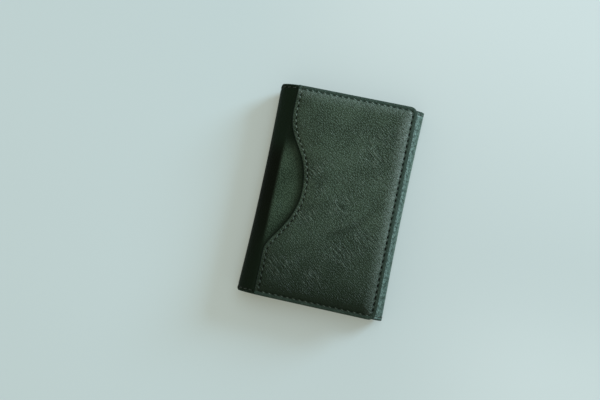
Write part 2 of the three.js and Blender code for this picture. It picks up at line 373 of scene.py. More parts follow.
@dataclass
class SheetForm:
    """A sheet on a line, as a grid of places."""

    place: Callable[..., Array]  # puts lengths along the line, Y and heights above it into the frame
    s: Array  # lengths along the line, one row of the grid each
    y: Array  # as a grid
    edge: Array  # distance of each place from the sheet's outline, as a grid
    joined: tuple[bool, bool] = (False, False)  # whether the first and the last row meet another piece

    def surface(self, outer: Array, inner: Array, masks: dict[str, Array]) -> Surface:
        """Closes the sheet with an outer face, an inner face and a wall round the outline.

        Args:
            outer: Heights of the outer face above the line, as a grid.
            inner: Heights of the inner face, as a grid.
            masks: How far each named number holds on the outer face, from 0 to 1.

        Returns:
            Two grids of quads, and one quad of wall for each step of the outline.
        """
        rows, columns = self.y.shape
        count = rows * columns
        index = np.arange(count).reshape(rows, columns)
        quads = grid_quads(rows, columns)
        outline = np.concatenate([index[:-1, 0], index[-1, :-1], index[:0:-1, -1], index[0, :0:-1]])
        following = np.roll(outline, -1)
        wall = np.stack([following, outline, outline + count, following + count], -1)
        flat = np.zeros(2 * len(quads) + len(wall), bool)
        wall_flat = flat[2 * len(quads):]
        wall_flat[rows - 1:rows + columns - 2] = self.joined[1]
        wall_flat[2 * rows + columns - 3:] = self.joined[0]
        points = [self.place(self.s, self.y, height).reshape(-1, 3) for height in (outer, inner)]
        on_sheet = np.stack([self.s.ravel(), self.y.ravel()], axis=1)
        edge = self.edge.ravel()
        values = {EDGE_VALUE: np.concatenate([edge, edge])}
        values |= {name: np.concatenate([mask.ravel(), 0.0 * edge]) for name, mask in masks.items()}
        faces = np.concatenate([quads, quads[:, ::-1] + count, wall])
        return Surface(np.concatenate(points), faces, np.concatenate([on_sheet, on_sheet]), values, flat)


@dataclass(frozen=True)
class Stitching:
    """Sewing thread and the marks that it leaves in a sheet."""

    radius: float = 0.27  # of the thread
    pitch: float = 3.07  # distance between holes
    slant: float = 0.2  # how far a stitch leans to either side of its seam
    lift: float = 0.02  # height of a stitch's middle above the sheet
    sink: float = 0.4  # depth of its ends below the sheet
    groove: float = 0.16  # depth of the furrow along a seam
    groove_width: float = 0.55  # half width of that furrow
    pit: float = 0.32  # depth of a hole
    pit_width: float = 0.36  # half width of a hole
    slit: float = 0.6  # half length of a hole along its seam
    lean: float = 0.25  # angle of a hole to its seam, in radians
    cover: float = 0.72  # share of the pitch that a stitch covers
    taper: float = 0.3  # share by which it thins at its ends
    flatness: float = 0.85  # height of the thread's section as a share of its width
    arch: int = 6  # power of the distance from its middle by which it sinks and thins
    mark_reach: float = 3.0  # half lengths of a hole past which it leaves no mark
    rings: int = 7  # sections along a stitch
    sides: int = field(default=6, init=False)  # sides of a section

    def holes(self, path: Array) -> Array:
        """Holes along a path, a whole number of pitches apart.

        Args:
            path: Points of the seam on its sheet.

        Returns:
            One place for each hole, at even lengths along the path.
        """
        total = path_lengths(path)[-1]
        return resampled(path, np.linspace(0.0, total, max(int(round(total / self.pitch)), 1) + 1))

    def marks(self, s: Array, y: Array, holes: Array) -> Array:
        """How far each place of a sheet is in a stitch hole.

        Args:
            s: Lengths of the places, as a grid.
            y: Y of the places, as a grid.
            holes: Places of the holes.

        Returns:
            From 0 to 1, a bell along and across the nearest hole, which leans to its seam.
        """
        reach = self.mark_reach * self.slit
        low, high = holes.min(axis=0) - reach, holes.max(axis=0) + reach
        near = (s > low[0]) & (s < high[0]) & (y > low[1]) & (y < high[1])
        mark = np.zeros(s.shape)
        gap = (s[near][:, None] - holes[:, 0]) ** 2 + (y[near][:, None] - holes[:, 1]) ** 2
        nearest = gap.argmin(axis=1)
        ahead = np.gradient(holes, axis=0)[nearest]
        angle = np.arctan2(ahead[:, 1], ahead[:, 0]) + self.lean
        off_s, off_y = s[near] - holes[nearest, 0], y[near] - holes[nearest, 1]
        along = (off_s * np.cos(angle) + off_y * np.sin(angle)) / self.slit
        across = (off_y * np.cos(angle) - off_s * np.sin(angle)) / self.pit_width
        mark[near] = np.exp(-(along**2) - across**2)
        return mark

    def furrow(self, distance: Array, inset: float) -> Array:
        """Depth of the furrow: a bell curve of the distance from the seam line at that inset."""
        return self.groove * np.exp(-(((distance - inset) / self.groove_width) ** 2))

    def tube(self) -> Array:
        """Faces of one stitch: quads between its rings, and two quads on the six sides of either end."""
        ring = np.arange(self.rings * self.sides).reshape(self.rings, self.sides)
        beside = np.roll(ring, -1, axis=1)
        round_it = np.stack([ring[:-1], beside[:-1], beside[1:], ring[1:]], -1).reshape(-1, 4)
        first, last = ring[0], ring[-1]
        return np.concatenate([round_it, [first[[0, 3, 2, 1]], first[[0, 5, 4, 3]],
                                          last[[0, 1, 2, 3]], last[[0, 3, 4, 5]]]])

    def surface(self, starts: Array, ends: Array, base: Array,
                place: Callable[..., Array], worn: Array | float = 0.0) -> Surface:
        """Threads from hole to hole, all at once.

        Each thread is a ring of sides carried along a low arch: its height is the lift in the middle and
        falls with a power of the distance from there to the sink at the ends, and it leans across the seam.

        Args:
            starts: Hole where each stitch starts.
            ends: Hole where each stitch ends.
            base: Height of the sheet under each stitch.
            place: Puts s, y and height into the frame.
            highlight: How far a painted highlight lies on each stitch, from 0 to 1.

        Returns:
            One closed tube for each stitch.
        """
        count = len(starts)
        stations = np.linspace(-1.0, 1.0, self.rings)
        turns = np.linspace(0.0, FULL_TURN, self.sides, endpoint=False)
        along = (ends - starts) / np.linalg.norm(ends - starts, axis=1, keepdims=True)
        across = np.stack([-along[:, 1], along[:, 0]], axis=1)
        middle = (starts + ends) / 2.0
        half = (ends - starts) / 2.0
        centre = middle[:, None] + self.cover * half[:, None] * stations[:, None]
        centre = centre - self.slant * stations[:, None] * across[:, None]
        height = self.lift - (self.lift + self.sink) * stations**self.arch
        girth = self.radius * (1.0 - self.taper * stations**self.arch)
        wide = girth[:, None] * np.cos(turns)
        tall = height[:, None] + self.flatness * girth[:, None] * np.sin(turns)
        flat_place = centre[:, :, None] + across[:, None, None] * wide[None, :, :, None]
        level = base[:, None, None] + tall[None]
        points = place(flat_place[..., 0], flat_place[..., 1], level).reshape(-1, 3)
        each = self.rings * self.sides
        faces = (self.tube()[None] + each * np.arange(count)[:, None, None]).reshape(-1, 4)
        round_it = np.broadcast_to(turns / FULL_TURN, (count, self.rings, self.sides))
        run = np.broadcast_to((stations * self.pitch / 2.0)[:, None], round_it.shape)
        on_thread = np.stack([round_it.ravel(), run.ravel()], axis=1)
        pale = np.repeat(np.broadcast_to(worn, count), each)
        return Surface(points, faces, on_thread, {HIGHLIGHT_VALUE: pale}, np.zeros(len(faces), bool))


class Nodes:
    """Adds nodes to one shader tree and joins them."""

    def __init__(self, tree: bpy.types.NodeTree) -> None:
        """Keeps the tree that the nodes go into."""
        self.tree = tree

    def join(self, node: bpy.types.Node, inputs: dict[str | int, object]) -> None:
        """Gives a node its inputs.

        Args:
            node: The node.
            inputs: For each input's name or number, a socket to join to it or a value to set on it.
        """
        for key, value in inputs.items():
            if isinstance(value, Socket):
                self.tree.links.new(value, node.inputs[key])
            else:
                node.inputs[key].default_value = value

    def add(self, kind: str, inputs: dict[str | int, object] | None = None,
            **settings: object) -> bpy.types.Node:
        """Adds one node.

        Args:
            kind: Blender's name for the node.
            inputs: For each input's name or number, a socket to join to it or a value to set on it.
            **settings: Properties of the node.

        Returns:
            The new node.
        """
        node = self.tree.nodes.new(kind)
        for name, value in settings.items():
            setattr(node, name, value)
        self.join(node, inputs or {})
        return node

    def effect(self, group: bpy.types.NodeTree, **inputs: object) -> bpy.types.NodeOutputs:
        """Outputs of a shared shader group, with sockets or values for its inputs."""
        return self.add("ShaderNodeGroup", inputs, node_tree=group).outputs

    def number(self, name: str) -> Socket:
        """A named number on the points of the mesh."""
        return self.add("ShaderNodeAttribute", attribute_name=name).outputs["Fac"]

    def sheet_place(self) -> Socket:
        """Place on the piece's own sheet, in metres."""
        return self.add("ShaderNodeUVMap", uv_map=SHEET_MAP).outputs[0]

    def parts(self, vector: Socket) -> bpy.types.NodeOutputs:
        """X, Y and Z of a vector."""
        return self.add("ShaderNodeSeparateXYZ", {0: vector}).outputs

    def maths(self, operation: str, *values: object, clamp: bool = False) -> Socket:
        """Result of a Math node on sockets or numbers."""
        inputs = dict(enumerate(values))
        return self.add("ShaderNodeMath", inputs, operation=operation, use_clamp=clamp).outputs[0]

    def product(self, *values: object) -> Socket:
        """Product of sockets or numbers, one after the other."""
        return reduce(lambda first, second: self.maths("MULTIPLY", first, second), values)

    def ribs(self, run: object) -> Socket:
        """Rounded ribs from 0 to 1: the absolute value of the sine of a run in radians."""
        return self.maths("ABSOLUTE", self.maths("SINE", run))

    def spread(self, value: object, low: float, high: float, to_low: float = 0.0,
               to_high: float = 1.0) -> Socket:
        """A value carried smoothly from one range to another.

        Args:
            value: The socket to carry.
            low: Value that becomes to_low.
            high: Value that becomes to_high.
            to_low: Result at low and beyond it.
            to_high: Result at high and beyond it.

        Returns:
            The result's socket.
        """
        ranges = {"Value": value, "From Min": low, "From Max": high, "To Min": to_low, "To Max": to_high}
        return self.add("ShaderNodeMapRange", ranges, interpolation_type="SMOOTHSTEP").outputs[0]

    def mix(self, factor: object, first: object, second: object) -> Socket:
        """Colour between two colours, by a factor."""
        return self.add("ShaderNodeMix", {0: factor, 6: first, 7: second}, data_type="RGBA").outputs[2]

    def noise(self, vector: object, scale: object, detail: float = 2.0,
              distortion: float = 0.0) -> Socket:
        """Flat noise from 0 to 1 on a vector."""
        inputs = {"Vector": vector, "Scale": scale, "Detail": detail, "Distortion": distortion}
        return self.add("ShaderNodeTexNoise", inputs, noise_dimensions="2D").outputs[0]

    def turned(self, vector: object, angle: object) -> Socket:
        """A vector turned about Z."""
        inputs = {"Vector": vector, "Angle": angle}
        return self.add("ShaderNodeVectorRotate", inputs, rotation_type="Z_AXIS").outputs[0]

    def drawn_out(self, vector: object, share: float) -> Socket:
        """A vector whose X is cut to a share, so that a pattern on it is longer along X."""
        inputs = {0: vector, 1: (share, 1.0, 1.0)}
        return self.add("ShaderNodeVectorMath", inputs, operation="MULTIPLY").outputs[0]

    def bump(self, height: object) -> Socket:
        """Normal of a relief whose height is in metres."""
        return self.add("ShaderNodeBump", {"Height": height, "Strength": 1.0, "Distance": 1.0}).outputs[0]


class EffectGroups:
    """The shader groups that several finishes share, built once."""

    def __init__(self) -> None:
        """Builds every group."""
        self.pebbles = self.pebble_grain()
        self.creases = self.crease_lines()
        self.paint = self.edge_paint()
        self.rub = self.rubbed_edge()

    @staticmethod
    def start(name: str, inputs: dict[str, str],
              outputs: dict[str, str]) -> tuple[Nodes, bpy.types.NodeOutputs, bpy.types.Node]:
        """Starts a shader group with named sockets.

        Args:
            name: Name of the group.
            inputs: Kind of socket for each input's name.
            outputs: Kind of socket for each output's name.

        Returns:
            The group's nodes, its inputs as sockets to read, and the node that takes its outputs.
        """
        tree = bpy.data.node_groups.new(name, "ShaderNodeTree")
        for in_out, sockets in (("INPUT", inputs), ("OUTPUT", outputs)):
            for socket_name, kind in sockets.items():
                tree.interface.new_socket(name=socket_name, in_out=in_out, socket_type="NodeSocket" + kind)
        return Nodes(tree), tree.nodes.new("NodeGroupInput").outputs, tree.nodes.new("NodeGroupOutput")

    def pebble_grain(self) -> bpy.types.NodeTree:
        """Leather grain from 0 in the furrows to 1: rounded cells and finer streaks, drawn out one way."""
        cell_draw, streak_draw, finer = 0.8, 0.5, 1.3
        cell_share, streak_share = 0.64, 0.36
        cell_top, cell_rim, disorder = 0.1, 0.65, 0.78
        sockets = {"Vector": "Vector", "Scale": "Float", "Angle": "Float"}
        nodes, given, result = self.start("pebble_grain", sockets, {"Height": "Float"})
        turned = nodes.turned(given["Vector"], given["Angle"])
        drawn = nodes.drawn_out(turned, cell_draw)
        cells = {"Vector": drawn, "Scale": given["Scale"], "Randomness": disorder}
        cell = nodes.add("ShaderNodeTexVoronoi", cells, voronoi_dimensions="2D").outputs["Distance"]
        pebble = nodes.spread(cell, cell_top, cell_rim, cell_share, 0.0)
        streak = nodes.noise(nodes.drawn_out(turned, streak_draw), nodes.product(given["Scale"], finer), 1.0)
        streak = nodes.spread(streak, NOISE_LOW, NOISE_HIGH, 0.0, streak_share)
        nodes.join(result, {"Height": nodes.maths("ADD", pebble, streak)})
        return nodes.tree

    def crease_lines(self) -> bpy.types.NodeTree:
        """Thin ridges and furrows one way: crests and troughs of drawn out noise, in patches."""
        draw, waver, patch_scale = 0.095, 0.3, 0.07
        bare, full = 0.7, 1.35
        levels = {"Ridge": (0.54, 0.66), "Furrow": (0.47, 0.35)}
        sockets = {"Vector": "Vector", "Scale": "Float", "Angle": "Float", "Cover": "Float"}
        nodes, given, result = self.start("crease_lines", sockets, {"Ridge": "Float", "Furrow": "Float"})
        drawn = nodes.drawn_out(nodes.turned(given["Vector"], given["Angle"]), draw)
        wave = nodes.noise(drawn, given["Scale"], 1.0, waver)
        patch = nodes.noise(given["Vector"], nodes.product(given["Scale"], patch_scale), 1.0)
        shown = nodes.spread(nodes.maths("ADD", patch, given["Cover"]), bare, full)
        for name, ends in levels.items():
            nodes.join(result, {name: nodes.product(nodes.spread(wave, *ends), shown)})
        return nodes.tree

    def edge_paint(self) -> bpy.types.NodeTree:
        """Painted cut edge: a mask that falls from 1 on the edge to 0 over a width, and the mixed colour."""
        full_to = 0.55
        sockets = {"Color": "Color", "Paint": "Color", "Distance": "Float", "Width": "Float"}
        nodes, given, result = self.start("edge_paint", sockets, {"Color": "Color", "Mask": "Float"})
        share = nodes.maths("DIVIDE", given["Distance"], given["Width"])
        mask = nodes.spread(share, full_to, 1.0, 1.0, 0.0)
        nodes.join(result, {"Color": nodes.mix(mask, given["Color"], given["Paint"]), "Mask": mask})
        return nodes.tree

    def rubbed_edge(self) -> bpy.types.NodeTree:
        """Rubbed leather: patches near an edge, on the tops of the grain, mixed to a paler tone."""
        full_to, none_past = 0.3, 2.6
        patch_scale, patch_low, patch_high = 190.0, 0.42, 0.7
        sockets = {"Color": "Color", "Tone": "Color", "Distance": "Float", "Height": "Float",
                   "Vector": "Vector", "Amount": "Float"}
        nodes, given, result = self.start("rubbed_edge", sockets, {"Color": "Color", "Mask": "Float"})
        near = nodes.spread(given["Distance"], full_to, none_past, 1.0, 0.0)
        patch = nodes.spread(nodes.noise(given["Vector"], patch_scale, detail=3.0), patch_low, patch_high)
        mask = nodes.product(near, patch, given["Height"])
        mask = nodes.maths("MULTIPLY", mask, given["Amount"], clamp=True)
        nodes.join(result, {"Color": nodes.mix(mask, given["Color"], given["Tone"]), "Mask": mask})
        return nodes.tree


def opaque(colour: Colour) -> tuple[float, float, float, float]:
    """A colour with full alpha."""
    return (*colour, 1.0)


def new_material(name: str) -> tuple[bpy.types.Material, Nodes, bpy.types.Node]:
    """Starts a material.

    Args:
        name: Name of the material.

    Returns:
        The material, its nodes and its Principled shader.
    """
    material = bpy.data.materials.new(name)
    material.use_nodes = True
    shader = next(node for node in material.node_tree.nodes if node.type == "BSDF_PRINCIPLED")
    return material, Nodes(material.node_tree), shader


@dataclass(frozen=True)
class Leather:
    """A finish of dyed leather with grain, creases, painted edges, rubbed edges, and painted highlights and
    painted shade.
    """

    name: str
    dark: Colour  # in the furrows of the grain, and the colour that painted shade mixes to
    light: Colour  # on the tops of the grain
    paint: Colour  # on a cut edge
    wear_and_highlight: Colour  # worn beside the edges, and a painted highlight on the creases' ridges
    burnish_and_spine_shade: Colour  # on a pressed rim, and on the shell the painted shade of the spine
    pebble_scale: float  # pebbles in a metre
    pebble_depth: float  # in metres, like the creases' depth
    crease_depth: float
    crease_angle: float  # on the sheet, in radians
    crease_cover: float  # share of the sheet that has creases
    roughness: Pair  # on the tops and in the furrows
    painted_low_shade: float = 0.75  # how much painted shade darkens the lower end
    worn: Colour = (0.075, 0.13, 0.118)  # painted highlight, where the light catches the leather
    polish: float = 0.7  # weight of the clear gloss there
    specular: float = 0.25
    crease_scale: float = 1900.0  # creases in a metre, across them
    paint_width: float = 0.5  # in millimetres
    rub: float = 0.55  # amount of wear beside the edges
    patch_cover: float = 0.6  # creases that a wrinkled patch adds

    def dyed(self, nodes: Nodes, place: Socket, height: Socket,
             creases: bpy.types.NodeOutputs) -> Socket:
        """Colour of the dyed leather with its painted shade, before the painted highlights and the wear.

        Args:
            nodes: The material's nodes.
            place: Place on the sheet.
            height: Height of the grain.
            creases: Outputs of the creases' group.

        Returns:
            The grain's tone with clouds, mixed for a pressed rim (on the shell, the spine's painted shade),
            painted shade at the lower end, painted highlights on the crests, painted shade in the creases and
            the sheet's painted shade.
        """
        furrow, top, cloud_scale, cloud_share = 0.1, 0.6, 70.0, 0.28
        tones, crests = (0.22, 0.77), (0.32, 0.75)
        # Painted shade darkens the lower end, a little less on the rim
        darkest_y, even_y, rim_depth = -0.053, 0.005, 0.75
        # Painted highlights on the crests are dimmer towards the lower end
        dull_y, full_y, dull_share = -0.04, 0.0, 0.7
        rim_share, crease_share = 0.97, 0.6
        rim, shaded = nodes.number(RIM_AND_SPINE_SHADE_VALUE), nodes.number(SHADE_VALUE)
        length = nodes.parts(place)[1]
        cloud = nodes.noise(place, cloud_scale, detail=3.0)
        cloud = nodes.spread(cloud, NOISE_LOW, NOISE_HIGH, 0.0, cloud_share)
        tone = nodes.maths("ADD", nodes.spread(height, 0.0, 1.0, *tones), cloud, clamp=True)
        depth = nodes.spread(length, darkest_y, even_y, self.painted_low_shade, 0.0)
        crest = nodes.product(creases["Ridge"], nodes.spread(height, furrow, top, *crests))
        colour = nodes.mix(tone, opaque(self.dark), opaque(self.light))
        for share, layer in (
            # Pressed rim on the pocket; on the shell, painted shade on the spine
            (nodes.product(rim, rim_share), self.burnish_and_spine_shade),
            # Painted shade towards the lower end
            (nodes.product(depth, nodes.spread(rim, 0.0, 1.0, 1.0, rim_depth)), self.dark),
            # Painted highlight on the creases' crests
            (nodes.product(crest, nodes.spread(length, dull_y, full_y, dull_share, 1.0)), self.wear_and_highlight),
            # Painted shade in the creases' furrows
            (nodes.product(creases["Furrow"], crease_share), self.dark),
            # Painted shade from the sheet's own mask
            (shaded, self.dark),
        ):
            colour = nodes.mix(share, colour, opaque(layer))
        return colour

    def highlight_share(self, nodes: Nodes, place: Socket, height: Socket) -> Socket:
        """How far a painted highlight lies on the leather.

        Args:
            nodes: The material's nodes.
            place: Place on the sheet.
            height: Height of the grain.

        Returns:
            The sheet's painted highlight, less in the furrows of the grain and between patches.
        """
        furrow, top, furrow_share = 0.1, 0.7, 0.68
        patch_scale, patch_low, patch_high, between = 600.0, 0.32, 0.62, 0.4
        patch = nodes.noise(place, patch_scale, detail=3.0)
        patchy = nodes.product(nodes.spread(height, furrow, top, furrow_share, 1.0),
                               nodes.spread(patch, patch_low, patch_high, between, 1.0))
        return nodes.product(nodes.number(HIGHLIGHT_VALUE), patchy)

    def material(self, groups: EffectGroups) -> bpy.types.Material:
        """Builds the leather's material.

        Args:
            groups: The shared shader groups.

        Returns:
            The new material.
        """
        material, nodes, shader = new_material(self.name)
        place = nodes.sheet_place()
        edge, hole, rim, wrinkled = map(nodes.number, (EDGE_VALUE, HOLE_VALUE, RIM_AND_SPINE_SHADE_VALUE, WRINKLE_VALUE))
        grain = {"Vector": place, "Angle": self.crease_angle}
        height = nodes.effect(groups.pebbles, Scale=self.pebble_scale, **grain)["Height"]
        cover = nodes.maths("MULTIPLY_ADD", wrinkled, self.patch_cover, self.crease_cover)
        creases = nodes.effect(groups.creases, Scale=self.crease_scale, Cover=cover, **grain)
        highlight_share = self.highlight_share(nodes, place, height)
        # Painted highlight mixed over the dyed colour
        colour = nodes.mix(highlight_share, self.dyed(nodes, place, height, creases), opaque(self.worn))
        rub = nodes.effect(groups.rub, Color=colour, Tone=opaque(self.wear_and_highlight), Distance=edge, Height=height,
                           Vector=place, Amount=self.rub)
        paint = nodes.effect(groups.paint, Color=rub["Color"], Paint=opaque(self.paint), Distance=edge,
                             Width=self.paint_width)
        # Stitch holes are painted near black: painted shade in the holes
        hole_start, hole_full, hole_share, hole_rough = 0.3, 0.65, 0.96, 0.3
        hole_colour = (0.0025, 0.0035, 0.003)
        furrow, top, rim_relief, gloss_roughness = 0.1, 0.8, 0.45, 0.28
        in_hole = nodes.spread(hole, hole_start, hole_full, 0.0, hole_share)
        rough = nodes.spread(height, furrow, top, *self.roughness[::-1])
        unpainted = nodes.maths("SUBTRACT", 1.0, paint["Mask"])
        unpainted = nodes.product(unpainted, nodes.spread(rim, 0.0, 1.0, 1.0, rim_relief))
        folds = nodes.maths("SUBTRACT", creases["Ridge"], creases["Furrow"])
        relief = nodes.product(height, self.pebble_depth)
        relief = nodes.maths("ADD", relief, nodes.product(folds, self.crease_depth))
        nodes.join(shader, {
            "Base Color": nodes.mix(in_hole, paint["Color"], opaque(hole_colour)),
            "Roughness": nodes.maths("ADD", rough, nodes.product(in_hole, hole_rough), clamp=True),
            "Specular IOR Level": self.specular,
            "Coat Weight": nodes.product(highlight_share, self.polish),
            "Coat Roughness": gloss_roughness,
            "Normal": nodes.bump(nodes.product(relief, unpainted)),
        })
        return material


@dataclass(frozen=True)
class Twill:
    """A finish of dark twill cloth for the lining."""

    name: str
    warp: Colour  # colour of the raised threads
    weft: Colour  # colour between them
    rib_scale: float = 1500.0  # ribs in a metre
    step_scale: float = 0.8  # steps across the ribs, as a share of the ribs
    rib_share: float = 0.7  # share of the height; the steps give the rest
    fuzz_scale: float = 1.7  # specks of fuzz, as a share of the ribs
    fuzz_floor: float = 0.45  # tone that is added to the fuzz
    depth: float = 0.00008  # of the weave, in metres
    roughness: Pair = (0.95, 0.75)  # between the threads and on them
    sheen: float = 0.05

    def material(self) -> bpy.types.Material:
        """Builds the cloth's material: slanting ribs crossed by finer steps."""
        material, nodes, shader = new_material(self.name)
        place = nodes.sheet_place()
        x, y, _ = nodes.parts(place)
        run = math.pi * self.rib_scale
        rib = nodes.ribs(nodes.product(nodes.maths("ADD", x, y), run))
        step = nodes.ribs(nodes.product(nodes.maths("SUBTRACT", x, y), run * self.step_scale))
        steps = nodes.product(step, 1.0 - self.rib_share)
        height = nodes.maths("ADD", nodes.product(rib, self.rib_share), steps)
        fuzz = nodes.noise(place, self.rib_scale * self.fuzz_scale)
        tone = nodes.maths("MULTIPLY", height, nodes.maths("ADD", fuzz, self.fuzz_floor), clamp=True)
        nodes.join(shader, {
            "Base Color": nodes.mix(tone, opaque(self.weft), opaque(self.warp)),
            "Roughness": nodes.spread(height, 0.0, 1.0, *self.roughness),
            "Sheen Weight": self.sheen,
            "Normal": nodes.bump(nodes.product(height, self.depth)),
        })
        return material


@dataclass(frozen=True)
class SewingThread:
    """A finish of twisted, waxed thread."""

    name: str
    ply: Colour  # colour of the plies
    furrow: Colour  # painted shade between them
    worn: Colour = (0.205, 0.285, 0.25)  # colour of the plies where a highlight is painted
    highlight_furrow: float = 0.3  # share of it between the plies
    twist: float = 0.75  # length of one twist, in millimetres
    depth: float = 0.00006  # between the plies, in metres
    roughness: Pair = (0.75, 0.5)  # between the plies and on them

    def material(self) -> bpy.types.Material:
        """Builds the thread's material: plies that wind round it, by the sine of turn and length together."""
        material, nodes, shader = new_material(self.name)
        round_it, along, _ = nodes.parts(nodes.sheet_place())
        turn = nodes.product(round_it, 2.0 * FULL_TURN / MM)
        run = nodes.product(along, FULL_TURN / (self.twist * MM))
        ply = nodes.ribs(nodes.maths("ADD", turn, run))
        # Painted highlight on the thread, by the mask on its points
        wear_and_highlight = nodes.product(nodes.number(HIGHLIGHT_VALUE), nodes.spread(ply, 0.0, 1.0, self.highlight_furrow, 1.0))
        colour = nodes.mix(ply, opaque(self.furrow), opaque(self.ply))
        nodes.join(shader, {
            "Base Color": nodes.mix(wear_and_highlight, colour, opaque(self.worn)),
            "Roughness": nodes.spread(ply, 0.0, 1.0, *self.roughness),
            "Normal": nodes.bump(nodes.product(ply, self.depth)),
        })
        return material


class Wardrobe:
    """The finishes of the wallet, built once and handed to its pieces."""

    def __init__(self) -> None:
        """Builds the shared groups and then each material."""
        groups = EffectGroups()
        outer_paint: Colour = (0.018, 0.035, 0.029)
        grain_angle = math.radians(140.0)
        self.pocket = Leather(
            "pebbled_pocket_leather",
            dark=(0.0066, 0.0162, 0.0085), light=(0.056, 0.0905, 0.0645), paint=outer_paint,
            # The pocket's highlight colour paints its lit, puffed edges
            wear_and_highlight=(0.1, 0.138, 0.113), burnish_and_spine_shade=(0.0285, 0.0555, 0.046), worn=(0.132, 0.171, 0.16),
            pebble_scale=1170.0, pebble_depth=0.0003,
            crease_depth=0.00014, crease_angle=grain_angle, crease_cover=0.25,
            roughness=(0.38, 0.54), painted_low_shade=0.84, polish=0.35, specular=0.14, paint_width=0.3, rub=0.25,
        ).material(groups)
        self.shell = Leather(
            "smooth_shell_leather",
            dark=(0.006, 0.014, 0.0078), light=(0.05, 0.082, 0.055), paint=outer_paint,
            # The shell's burnish colour is the painted shade of its spine
            wear_and_highlight=(0.06, 0.1, 0.08), burnish_and_spine_shade=(0.0018, 0.0036, 0.0014), worn=(0.178, 0.288, 0.27),
            pebble_scale=1170.0, pebble_depth=0.00026,
            crease_depth=0.0002, crease_angle=grain_angle, crease_cover=-0.1,
            roughness=(0.34, 0.5), specular=0.05,
        ).material(groups)
        self.inner = Leather(
            "inner_page_leather",
            dark=(0.008, 0.0165, 0.0095), light=(0.027, 0.049, 0.03), paint=(0.005, 0.0105, 0.008),
            wear_and_highlight=(0.05, 0.08, 0.06), burnish_and_spine_shade=(0.008, 0.0165, 0.0095),
            pebble_scale=1700.0, pebble_depth=0.00005,
            crease_depth=0.00002, crease_angle=math.radians(20.0), crease_cover=0.25,
            roughness=(0.4, 0.55), painted_low_shade=0.0,
        ).material(groups)
        self.lining = Twill("lining_twill", (0.036, 0.042, 0.037), (0.009, 0.011, 0.0095)).material()
        self.thread = SewingThread("green_thread", (0.1, 0.135, 0.112), (0.016, 0.025, 0.02)).material()
        # Pocket thread whose highlight is painted where the light catches it
        self.highlit_thread = SewingThread("highlit_thread", (0.04, 0.066, 0.054),
                                          (0.01, 0.018, 0.014)).material()
        self.dark_thread = SewingThread("dark_thread", (0.016, 0.027, 0.021),
                                        (0.004, 0.006, 0.005)).material()


@dataclass(frozen=True)
class Stretch:
    """One stretch of the wrap, which bends at one hinge."""

    name: str
    before: Body  # bodies that it follows at its start and at its end
    after: Body
    joint: str  # hinge between them
    start: float  # lengths along the wrap where it starts and ends
    end: float
    free: tuple[bool, bool]  # whether its start and its end are free edges
    reach: float  # how far the bend reaches to either side of the hinge
    nodes: tuple[str, ...]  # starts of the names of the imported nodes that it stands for

    def bend(self, piece: bpy.types.Object, line: SheetLine) -> None:
        """Finds the wrap's direction at this stretch's hinge, then bakes the piece's place into its mesh.

        Args:
            piece: The piece, with its mesh final.
            line: The wrap, which gives the direction across the hinge.
        """
        pivot = next(joint["pos_m"] for joint in frame["joints"] if joint["name"] == self.joint)
        along = line.on_line(line.tangents, line.nearest(pivot[0] / MM, pivot[2] / MM))
        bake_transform(piece)


